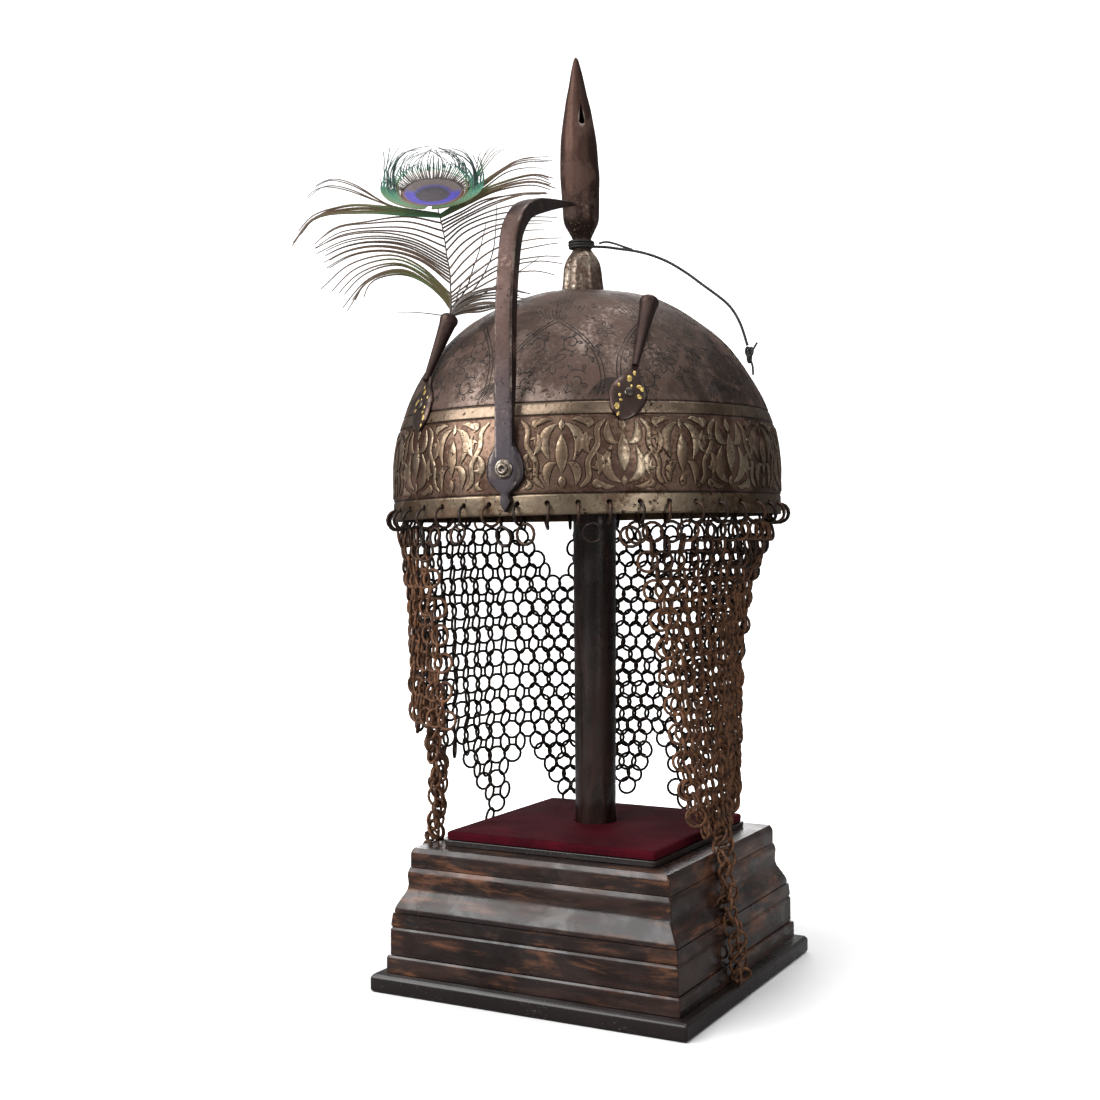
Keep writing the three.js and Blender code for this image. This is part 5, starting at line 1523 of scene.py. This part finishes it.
# Each fan runs from its first barb to its last, and a barb through points across and up. Back gives how far
# behind the feather's front the tips of the first and the last barb stand.
BARB_FANS = [
    {
        "barbs": [
            [(0.1, 7.7), (-14, 19), (-27, 23), (-41, 19.5), (-47, 8)],
            [(0.1, 4.6), (-8, 15.5), (-24, 25), (-42, 20), (-57, 3.1)],
            [(0.7, 12), (-14.6, 26), (-30, 31.5), (-50, 26.5), (-64.6, 13.3)],
        ],
        "count": 9, "back": (2, -4), "width": 0.42, "hair": 1.1, "tint": (0.4, 0.5, 0.3, 0.1),
    },
    {
        "barbs": [
            [(0.7, 17.8), (-14.6, 29), (-32, 34), (-50, 32), (-65, 24)],
            [(-0.5, 25), (-20.6, 36), (-38, 38.5), (-53.3, 36), (-67.7, 29.1)],
            [(-1.3, 32), (-17.6, 40), (-34.9, 43.5), (-53.3, 42), (-68.7, 35.7)],
            [(-4.3, 48.3), (-22.6, 52), (-43, 50), (-58.4, 47.8), (-69.7, 39.8)],
        ],
        "count": 13, "back": (0, 2), "width": 0.36, "hair": 0.9, "tint": (0.1, 0.15, 0.15, 0.1),
    },
    {
        "barbs": [
            [(-5.3, 51.4), (-22.6, 52.5), (-43, 53.8), (-68, 51.5), (-80.2, 37.4)],
            [(-7, 53), (-32.8, 57.2), (-53.2, 58.6), (-69, 53), (-77.8, 43.9)],
        ],
        "count": 8, "back": (0, 3), "width": 0.42, "hair": 1.1, "tint": (0.62, 0.5, 0.3, 0.12),
    },
    {
        "barbs": [
            [(-14, 53.5), (-32.8, 58.2), (-53.2, 65.6), (-66.5, 66.7), (-76.2, 59.2)],
            [(-16, 54), (-30.8, 57.7), (-48, 68.5), (-61, 72.2), (-73.6, 67.3)],
        ],
        "count": 4, "back": (4, 6), "width": 0.3, "hair": 0.7, "tint": (0.6, 0.35, 0.1, 0.05),
    },
    {
        "barbs": [
            [(4.7, 7.6), (13.9, 14.6), (27, 20), (43.3, 21), (57.5, 16.3)],
            [(2.7, 11.7), (13.9, 21.7), (28, 29), (48.5, 32.1), (59.6, 31.7)],
            [(0.2, 22.9), (7.8, 31.9), (20, 40.5), (36, 43.5), (54, 42)],
            [(-1.3, 36.1), (7.9, 45.1), (24.2, 50), (42.4, 50.3), (55.6, 49.2)],
            [(-2.3, 44.2), (7.9, 50.2), (24.2, 57.1), (40, 61), (52, 60)],
            [(-2.8, 49), (6, 53.5), (18.1, 59.2), (33.3, 61.1), (47.5, 60.9)],
        ],
        "count": 15, "back": (-24, -6), "width": 0.36, "hair": 0.9, "tint": (0.1, 0.15, 0.2, 0.1),
    },
    {
        "barbs": [
            [(-3, 51), (10, 58), (24, 64.2), (41, 67), (53, 64)],
            [(-2.3, 52.3), (13, 63.3), (28.3, 69.2), (43.5, 72.6), (54.7, 68.9)],
        ],
        "count": 8, "back": (-4, 0), "width": 0.42, "hair": 1.1, "tint": (0.62, 0.48, 0.3, 0.12),
    },
    {
        "barbs": [
            [(7.9, 60), (18, 66), (28.3, 73.3), (38.5, 76.2), (52.7, 76)],
            [(7, 60), (14.1, 66.3), (28.3, 76.3), (38.5, 80.2), (52.7, 80.3)],
            [(6, 60), (11, 65.4), (23.2, 73.3), (33.4, 80.3), (44.6, 82.7)],
        ],
        "count": 7, "back": (2, 4), "width": 0.3, "hair": 0.8, "tint": (0.6, 0.4, 0.2, 0.1),
    },
    {
        "barbs": [
            [(8, 62), (12.5, 69), (18, 77), (24, 84.5), (29.9, 88.4)],
            [(7, 62), (12, 69), (14.1, 77.5), (15.6, 84), (17, 87.2)],
        ],
        "count": 6, "back": (4, 6), "width": 0.24, "hair": 0.5, "tint": (0.8, 0.7, 0.4, 0.1),
    },
    {
        "barbs": [
            [(1, 2), (6, 9), (16, 13), (28, 13.5), (42, 9.3)],
            [(1, 1), (7, 5), (17, 7), (27, 6), (38, 3.5)],
            [(1, 1), (8, 2.5), (16, 2.4), (23, 3.4), (33, 5.3)],
        ],
        "count": 11, "back": (-22, -14), "width": 0.46, "hair": 1.0, "tint": (0.0, 0.1, 0.05, 0.0),
    },
    {
        "barbs": [
            [(4, 5), (8, 14), (12, 25), (16, 36), (19.1, 48)],
            [(4, 5), (12, 14), (19, 24), (23.6, 36), (25.7, 60)],
            [(3, 4), (14, 10), (26, 16.5), (38, 22.5), (48.4, 28.6)],
        ],
        "count": 3, "back": (-6, -18), "width": 0.3, "hair": 0.3, "tint": (0.0, 0.1, 0.1, 0.1),
    },
    {
        "barbs": [
            [(-0.4, 1.6), (-4.5, 1.3), (-11, 1.9), (-19, 2.2), (-26.9, 1.8)],
            [(0, 2), (3, 8), (4.5, 15), (8, 21), (14, 27)],
        ],
        "count": 2, "back": (0, 4), "width": 0.24, "hair": 0.3, "tint": (0.1, 0.1, 0.1, 0.0),
    },
]


class FeatherFrame:
    """Places on the feather by across, up and back from the mouth of its socket."""

    def __init__(self):
        _, mouth, direction = socket_axis(-1)
        self.root = seated(mouth, HELMET)
        self.axis = direction @ HELMET[:3, :3].T
        self.across = around(FEATHER_FACE + 90, 1, 0)
        self.back = around(FEATHER_FACE + 180, 1, 0)

    def at(self, points):
        points = np.asarray(points, float)
        flat = points[..., :1] * self.across + points[..., 2:3] * self.back
        return self.root + flat + points[..., 1:2] * (0, 0, 1)


def barbules(line, tint, draw, length, step=0.6, facing=(0, 0, 1)):
    """Short hairs along both sides of a barb, as thin closed slivers."""
    line = np.asarray(line)
    count = max(3, int(length_of(line) / step))
    line = evenly(line, count)
    run = unit(np.gradient(line, axis=0))
    aside = unit(np.cross(run, facing))
    points, faces, tints = [], [], []
    for k in range(1, count - 1):
        fade = 1 - 0.7 * (k / count) ** 3
        for way in (1, -1):
            reach = length * fade * draw.uniform(0.6, 1.1)
            tip = line[k] + aside[k] * way * reach + run[k] * reach * draw.uniform(0.7, 1.2)
            tip = tip + np.cross(run[k], aside[k]) * draw.uniform(-0.3, 0.3) * reach
            wide = run[k] * 0.13
            thick = np.cross(run[k], aside[k]) * 0.06
            start = len(points)
            points += [line[k] - wide, line[k] + wide, line[k] + thick, tip]
            faces += [[start + corner for corner in face] for face in SLIVER_FACES]
            tints += [float(np.interp(k / count, np.linspace(0, 1, len(tint)), tint))] * 4
    return Shape(points, faces, {"tint": np.array(tints)})


def barb(line, radius, tint, draw, hair=1.0, facing=(0, 0, 1)):
    """One barb: a thin shaft that narrows to its tip, with its hairs."""
    line = evenly(line, 22)
    share = np.linspace(0, 1, len(line))
    tints = np.interp(share, np.linspace(0, 1, len(tint)), tint)
    shaft = tube(line, radius * (1 - 0.55 * share**1.5), 4, 0.6, facing, tint=tints)
    return [shaft, barbules(line, tint, draw, hair, facing=facing)]


def fan_barbs(fan, placed, draw):
    """The barbs of one fan, worked out between the lines that it gives."""
    lines = np.array(fan["barbs"], float)
    loose = np.array([0, 0.2, 0.5, 0.8, 1.2])[:, None]
    made = []
    for place in np.linspace(0, len(lines) - 1, fan["count"]):
        low = min(int(place), len(lines) - 2)
        line = lines[low] + (lines[low + 1] - lines[low]) * (place - low)
        line = line + loose * (draw.gauss(0, 0.5), draw.gauss(0, 0.8))
        on_quill = np.interp(line[0, 1], *np.array(QUILL)[:, ::-1].T)
        if abs(line[0, 0] - on_quill) < QUILL_REACH:
            line[0, 0] = on_quill
        back = np.interp(place / (len(lines) - 1), (0, 1), fan["back"]) + draw.gauss(0, 1.5)
        points = np.column_stack([line, back * np.linspace(0, 1, len(line)) ** 1.5])
        path = placed.at(curve(points, 6))
        path = path[: len(path) - draw.randrange(3)]
        tint = np.array(fan["tint"]) + draw.uniform(-0.08, 0.1)
        made += barb(path, fan["width"] * BARB_WIDTH, tint, draw, fan["hair"], placed.back)
    return made


class Eye:
    """The eye's bowl. A place on it has an angle, which starts at the right and goes by the far side, and a
    share of its radius."""

    def __init__(self, placed):
        tilt = math.radians(EYE["tilt"])
        self.first, self.up = placed.across, np.array((0, 0, 1))
        self.normal = self.up * math.cos(tilt) - placed.back * math.sin(tilt)
        self.second = np.cross(self.normal, self.first)
        self.middle = placed.at((EYE["across"], EYE["up"], 0))

    def at(self, degrees, share, lift=0.0):
        angle = np.radians(degrees)
        out = np.asarray(EYE["radius"] * share)[..., None]
        spoke = self.first * np.cos(angle)[..., None] + self.second * np.sin(angle)[..., None]
        raised = np.asarray(EYE["dish"] * (np.asarray(share) ** 2 - 0.3) + lift)[..., None]
        return self.middle + spoke * out + self.normal * raised


def eye_disc(eye):
    """The eye's closed middle as a thin plate of fine rays, with a ragged edge."""
    degrees = (np.arange(240) * 360 / 240)[None]
    share = np.linspace(0.02, EYE["disc"], 26)[:, None]
    fine = np.cos(np.radians(degrees * 80))
    share = share * (1 + np.where(share > EYE["disc"] - 0.05, 0.05, 0.0) * fine)
    top = eye.at(degrees + 0 * share, share, 0.07 * fine * np.clip(share * 2 - 0.3, 0, 1))
    bottom = eye.at(degrees + 0 * share, share, -0.45)[::-1]
    far = np.clip(0.2 + 2.4 * np.sin(np.radians(degrees)), 0, 1)
    far = np.broadcast_to(far, (2 * len(share), far.shape[1]))
    ray = np.concatenate([share, share[::-1]])
    return grid(np.concatenate([top, bottom]), loops=True, caps=True, ray=ray, far=far, eye=1.0)


def eye_ring(eye, draw, side):
    """Barbs that sweep from the quill's tip round the bowl's near edge to one side, and rise at the end."""
    made = []
    outwards = eye.first * side
    first, last = EYE_RING["from"], EYE_RING["to"]
    for share in np.linspace(first, last, EYE_RING["count"]):
        reach = draw.uniform(84, 108)
        degrees = -90 + side * np.linspace(4, reach, 14)
        path = eye.at(degrees, np.full(14, share), draw.uniform(-0.3, 0.3))
        outer = (share - first) / (last - first)
        rise = draw.uniform(12, 19)
        turn_in = (1 - outer) * draw.uniform(10, 22) + draw.uniform(-1, 3)
        risen = [
            path[-1] + eye.up * rise * 0.3 + outwards * 0.6,
            path[-1] + eye.up * rise * 0.68 - outwards * turn_in * 0.3,
            path[-1] + eye.up * rise - outwards * turn_in,
        ]
        if outer > 0.1 and draw.random() < 0.45:
            risen = risen[:1]
        tint = np.interp(outer, (0, 0.25, 0.5, 1), (0.26, 0.5, 0.68, 0.5))
        tints = np.array([tint, tint, tint + 0.1, 0.88, 0.96])
        made += barb(curve(np.vstack([path, risen]), 3), 0.48, tints, draw, 0.9, eye.normal)
    return made


def eye_rays(eye, draw):
    """The far side's fan of rays, brown-grey with teal tips."""
    made = []
    for degrees in np.arange(2, 180, 3.1):
        share = np.linspace(EYE["disc"] - 0.04, draw.uniform(0.92, 1.04), 6)
        path = eye.at(np.full(6, degrees + draw.gauss(0, 0.6)), share)
        path = path + eye.up * (np.linspace(0, 1, 6)[:, None] ** 2) * draw.uniform(1, 3)
        made += barb(path, 0.4, np.array([0.06, 0.1, 0.45, 0.85, 0.9]), draw, 0.8, eye.normal)
    return made


def eye_curls(eye, draw):
    """Thin dark barbs that rise from the far and side edges and bend inwards, like a cage over the eye."""
    made = []
    for k in range(36):
        degrees = -12 + 204 * k / 35 + draw.gauss(0, 3)
        start = eye.at(np.array(degrees), np.array(draw.uniform(0.82, 1.0)))
        top = eye.middle + eye.up * draw.uniform(21, 25.5)
        bend = np.append((start + (start - eye.middle) * 0.1)[:2], top[2] - draw.uniform(0, 3))
        aim = start + (top - start) * draw.uniform(0.55, 1.15)
        tip = np.append(aim[:2], top[2] - draw.uniform(0, 2.5))
        made += barb(arc(start, bend, tip, 16), 0.34, np.array([0.9, 1.0, 1.0, 1.0]), draw, 0.4, eye.normal)
    return made


def make_feather(finish):
    draw = random.Random(23)
    placed = FeatherFrame()
    inside = placed.root - placed.axis * np.array(QUILL_DEPTHS)[:, None]
    above = placed.at([(across, up, 0) for across, up in QUILL])
    line = curve(np.vstack([inside, above]), 5)
    radius = np.interp(line[:, 2] - placed.root[2], *np.array(QUILL_RADII).T)
    shapes = [tube(line, radius, 10, tint=0.08)]
    for fan in BARB_FANS:
        shapes += fan_barbs(fan, placed, draw)
    eye = Eye(placed)
    shapes.append(eye_disc(eye))
    shapes += eye_ring(eye, draw, -1) + eye_ring(eye, draw, 1) + eye_rays(eye, draw) + eye_curls(eye, draw)
    piece("peacock_feather", shapes, [finish], "feather", ["feather"], sharp=60)


# The stand: half widths and heights of its square layers

STAND_LAYERS = {
    "base_plate": {"profile": [(83.6, 0), (84.6, 1), (84.6, 7.4), (83.3, 8.75)], "round": 0.8, "corner": 1.0},
    "plinth_foot": {"profile": [(78.8, 9.05), (78.8, 16.6), (78.2, 17.5)], "round": 0.7, "corner": 0.9},
    "plinth_board": {
        "profile": [(77.4, 17.8), (77.4, 30.4), (76.5, 31.2), (77.3, 32), (76.6, 38.2)],
        "round": 0.7, "corner": 0.9,
    },
    "plinth_ogee": {
        "profile": [(76, 38.5), (75.6, 41), (73.6, 45), (71.7, 48.5), (71, 52), (71.3, 57), (70.4, 60.2)],
        "round": 0, "corner": 0.9,
    },
    "plinth_cap": {"profile": [(70.2, 60.5), (70.2, 67.8), (68.9, 70)], "round": 1.1, "corner": 1.2},
}
PAD_BOARD = {"half": 58.2, "low": 70.3, "high": 73.0, "round": 0.5}
VELVET = {"half": 57.2, "low": 73.3, "high": 77.2, "round": 1.5, "crown": 0.35}
POST = {"x": -3.96, "y": 4.71, "hole": 10.9}
POST_OUTLINE = [(10.4, 70.3), (10.6, 90), (11.4, 330), (10.2, 340), (6.5, 346.5), (0.4, 349.6)]


def square_ring(half, corner, steps=5, along=1):
    """Points round a square with rounded corners, in so many steps round each corner and along each side."""
    ring = []
    for quarter in range(4):
        turn = math.radians(90 * quarter)
        angle = turn + np.linspace(0, math.pi / 2, steps + 1)
        diagonal = turn + math.pi / 4
        middle = (half - corner) * math.sqrt(2) * np.array((math.cos(diagonal), math.sin(diagonal)))
        ring.append(middle + corner * np.stack([np.cos(angle), np.sin(angle)], axis=-1))
        side = np.linspace(half - corner, corner - half, along + 1)[1:-1, None]
        face = half * np.array((-math.sin(turn), math.cos(turn)))
        ring.append(face + side * (math.cos(turn), math.sin(turn)))
    return np.vstack(ring)


def at_height(ring, z):
    """A flat ring's points at a height, or each at its own."""
    return np.column_stack([ring, np.broadcast_to(z, len(ring))])


def layer_shape(layer):
    profile = np.array(layer["profile"], float)
    profile = eased(profile, layer["round"]) if layer["round"] else curve(profile, 5)
    rows = [at_height(square_ring(half, layer["corner"]), z) for half, z in profile]
    height = profile[:, 1]
    edge = (height > height.max() - 2.2).astype(float)[:, None]
    return grid(np.array(rows), loops=True, caps=True, edge=edge)


def board_shape(board, crown, wander, seed):
    """A square board with a round hole for the post, as one closed ring of rows."""
    edge, low, high, soft = board["half"], board["low"], board["high"], board["round"]
    outer = square_ring(1, 0.03, 5, 24)
    turn = np.arctan2(outer[:, 1], outer[:, 0])
    circle = np.stack([np.cos(turn), np.sin(turn)], axis=-1) * POST["hole"] + (POST["x"], POST["y"])
    rows = []
    for share in (0.0, 0.5, 1.0):
        rows.append(at_height(circle + (outer * (edge - 0.2) - circle) * share, low))
    for angle in np.linspace(0, math.pi / 2, 5):
        ring = outer * (edge - soft + soft * math.cos(angle))
        rows.append(at_height(ring, high - soft + soft * math.sin(angle)))
    for share in np.linspace(0, 1, 26)[1:]:
        ring = outer * (edge - soft) + (circle - outer * (edge - soft)) * share
        swell = crown * math.sin(math.pi * min(1, share * 1.15)) - (0.8 * crown if share == 1 else 0)
        wave = np.array([noise.noise(Vector((x / 19, y / 19, seed))) for x, y in ring]) * wander
        rows.append(at_height(ring, high + swell + wave))
    return grid(np.array(rows), loops=True, closed=True)


def make_stand(lacquer, plinth_walnut, post_walnut, velvet):
    for name, layer in STAND_LAYERS.items():
        finish, slot = (lacquer, "lacquer") if name == "base_plate" else (plinth_walnut, "walnut")
        piece(name + "_moulding", [layer_shape(layer)], [finish], slot, [name])
    piece("pad_board_black", [board_shape(PAD_BOARD, 0, 0, 0)], [lacquer], "lacquer", ["pad_board"])
    cushion = board_shape(VELVET, VELVET["crown"], 0.3, 4)
    pad = piece("velvet_cushion", [cushion], [velvet], "velvet", ["velvet_pad"])
    post = turned(curve(POST_OUTLINE, 8), 64)
    post.points[:, :2] += (POST["x"], POST["y"])
    piece("post_turned", [post], [post_walnut], "walnut", ["post"])


# The photograph's view, a pale floor and soft light

CAMERA = {
    "place": (340.27, -694.67, 220.39), "aim": 0.4873, "pitch": -0.0032, "roll": -0.0034,
    "lens": 48.923, "sensor": 36,
}
LIGHTS = [
    {"name": "key", "place": (-0.95, -1.35, 1.2), "aim": (0, 0, 0.26), "size": (1.9, 1.5), "power": 58},
    {"name": "fill", "place": (1.6, -1.1, 0.75), "aim": (0, 0, 0.22), "size": (1.0, 1.2), "power": 12},
    {"name": "top", "place": (0.1, 0.2, 1.9), "aim": (0, 0, 0.2), "size": (1.3, 1.3), "power": 22},
    {"name": "behind", "place": (-0.8, 1.5, 0.9), "aim": (0, 0, 0.3), "size": (1.1, 1.0), "power": 14},
]
SKY = {"seen": 1.0, "lit": 0.2}
FLOOR = {"seen": 0.9, "lit": 0.4, "mirrored": 0.2, "glow": 0.75, "from": 0.09, "to": 0.42}
FLOOR_OUTLINE = [(0.4, 0), (900, 0), (1500, 0), (1900, 60), (2200, 400), (2300, 1000), (2320, 2200)]


def make_camera():
    place = Vector(CAMERA["place"]) * MM
    aim, pitch, roll = CAMERA["aim"], CAMERA["pitch"], CAMERA["roll"]
    forward = Vector((-math.sin(aim) * math.cos(pitch), math.cos(aim) * math.cos(pitch), math.sin(pitch)))
    right = forward.cross(Vector((0, 0, 1))).normalized()
    up = right.cross(forward)
    leaned_right = right * math.cos(roll) + up * math.sin(roll)
    leaned_up = -right * math.sin(roll) + up * math.cos(roll)
    data = bpy.data.cameras.new("photo_camera")
    data.lens, data.sensor_width = CAMERA["lens"], CAMERA["sensor"]
    data.clip_start, data.clip_end = 0.01, 50
    camera = add_object("photo_camera", data)
    turn = Matrix((leaned_right, leaned_up, -forward)).transposed()
    camera.matrix_world = Matrix.Translation(place) @ turn.to_4x4()
    bpy.context.scene.camera = camera


def make_lights():
    for light in LIGHTS:
        data = bpy.data.lights.new(light["name"], "AREA")
        data.shape = "RECTANGLE"
        data.size, data.size_y = light["size"]
        data.energy = light["power"]
        made = add_object(light["name"], data)
        made.location = light["place"]
        made.rotation_euler = (Vector(light["aim"]) - made.location).to_track_quat("-Z", "Y").to_euler()
    world = bpy.data.worlds.new("soft_sky")
    bpy.context.scene.world = world
    world.use_nodes = True
    tree = world.node_tree
    seen = node(tree, "LightPath").outputs["Is Camera Ray"]
    background = tree.nodes["Background"]
    background.inputs["Color"].default_value = (1, 1, 1, 1)
    feed(tree, background.inputs["Strength"], between(tree, seen, 0.0, 1.0, SKY["lit"], SKY["seen"]))


def grey(tone):
    return (tone, tone, tone, 1)


def make_floor():
    """A round pale floor that curves up into a pale wall far out, and is white away from the stand's shadow.
    It lights the part less than it shows, as paper on a dark table does."""
    outline = curve(FLOOR_OUTLINE, 6)
    azimuth = (np.arange(96) * 360 / 96)[None]
    shape = grid(around(azimuth, outline[:, :1], outline[:, 1:2] - 0.05), loops=True)
    floor = add_object("studio_floor", mesh_of("studio_floor", [shape]))
    floor.data.shade_smooth()
    finish, tree, shader = new_finish("studio_paper", emission_strength=1.0)
    place = place_of(tree)
    rays = node(tree, "LightPath").outputs
    paper = mix(tree, cloud(tree, place, 3.0, 2.0), grey(FLOOR["seen"] - 0.01), grey(FLOOR["seen"] + 0.01))
    unseen = mix(tree, rays["Is Glossy Ray"], grey(FLOOR["lit"]), grey(FLOOR["mirrored"]))
    look(
        tree,
        shader.inputs,
        base_color=mix(tree, rays["Is Camera Ray"], unseen, paper),
        roughness=between(tree, cloud(tree, place, 5.0), 0.0, 1.0, 0.8, 0.9),
    )
    far_out = node(tree, "VectorMath", {0: place}, operation="LENGTH").outputs["Value"]
    glow = times(tree, between(tree, far_out, FLOOR["from"], FLOOR["to"]), rays["Is Camera Ray"])
    look(tree, shader.inputs, emission_color=mix(tree, glow, grey(0), grey(FLOOR["glow"])))
    floor.data.materials.append(finish)


make_camera()
waxed_cord = make_waxed_cord()
make_cord(waxed_cord)
engraved_steel = make_engraved_steel()
forged_iron = make_forged_iron()
worn_steel = make_worn_steel()
gilt_flecks = make_gilt_flecks()
mail_iron = make_mail_iron()
make_skull(engraved_steel, make_raised_steel(), make_etched_line())
make_finial(engraved_steel, make_spike_iron())
make_nasal(forged_iron, worn_steel)
make_socket(-1, "left", forged_iron, gilt_flecks, worn_steel)
make_socket(1, "right", forged_iron, gilt_flecks, worn_steel)
make_mail(mail_iron)
make_feather(make_feather_finish())
lacquer = make_lacquer()
plinth_walnut = make_walnut("plinth_walnut", False)
post_walnut = make_walnut("post_walnut", True)
make_stand(lacquer, plinth_walnut, post_walnut, make_velvet())
make_floor()
make_lights()
bpy.context.scene.view_settings.view_transform = "Standard"
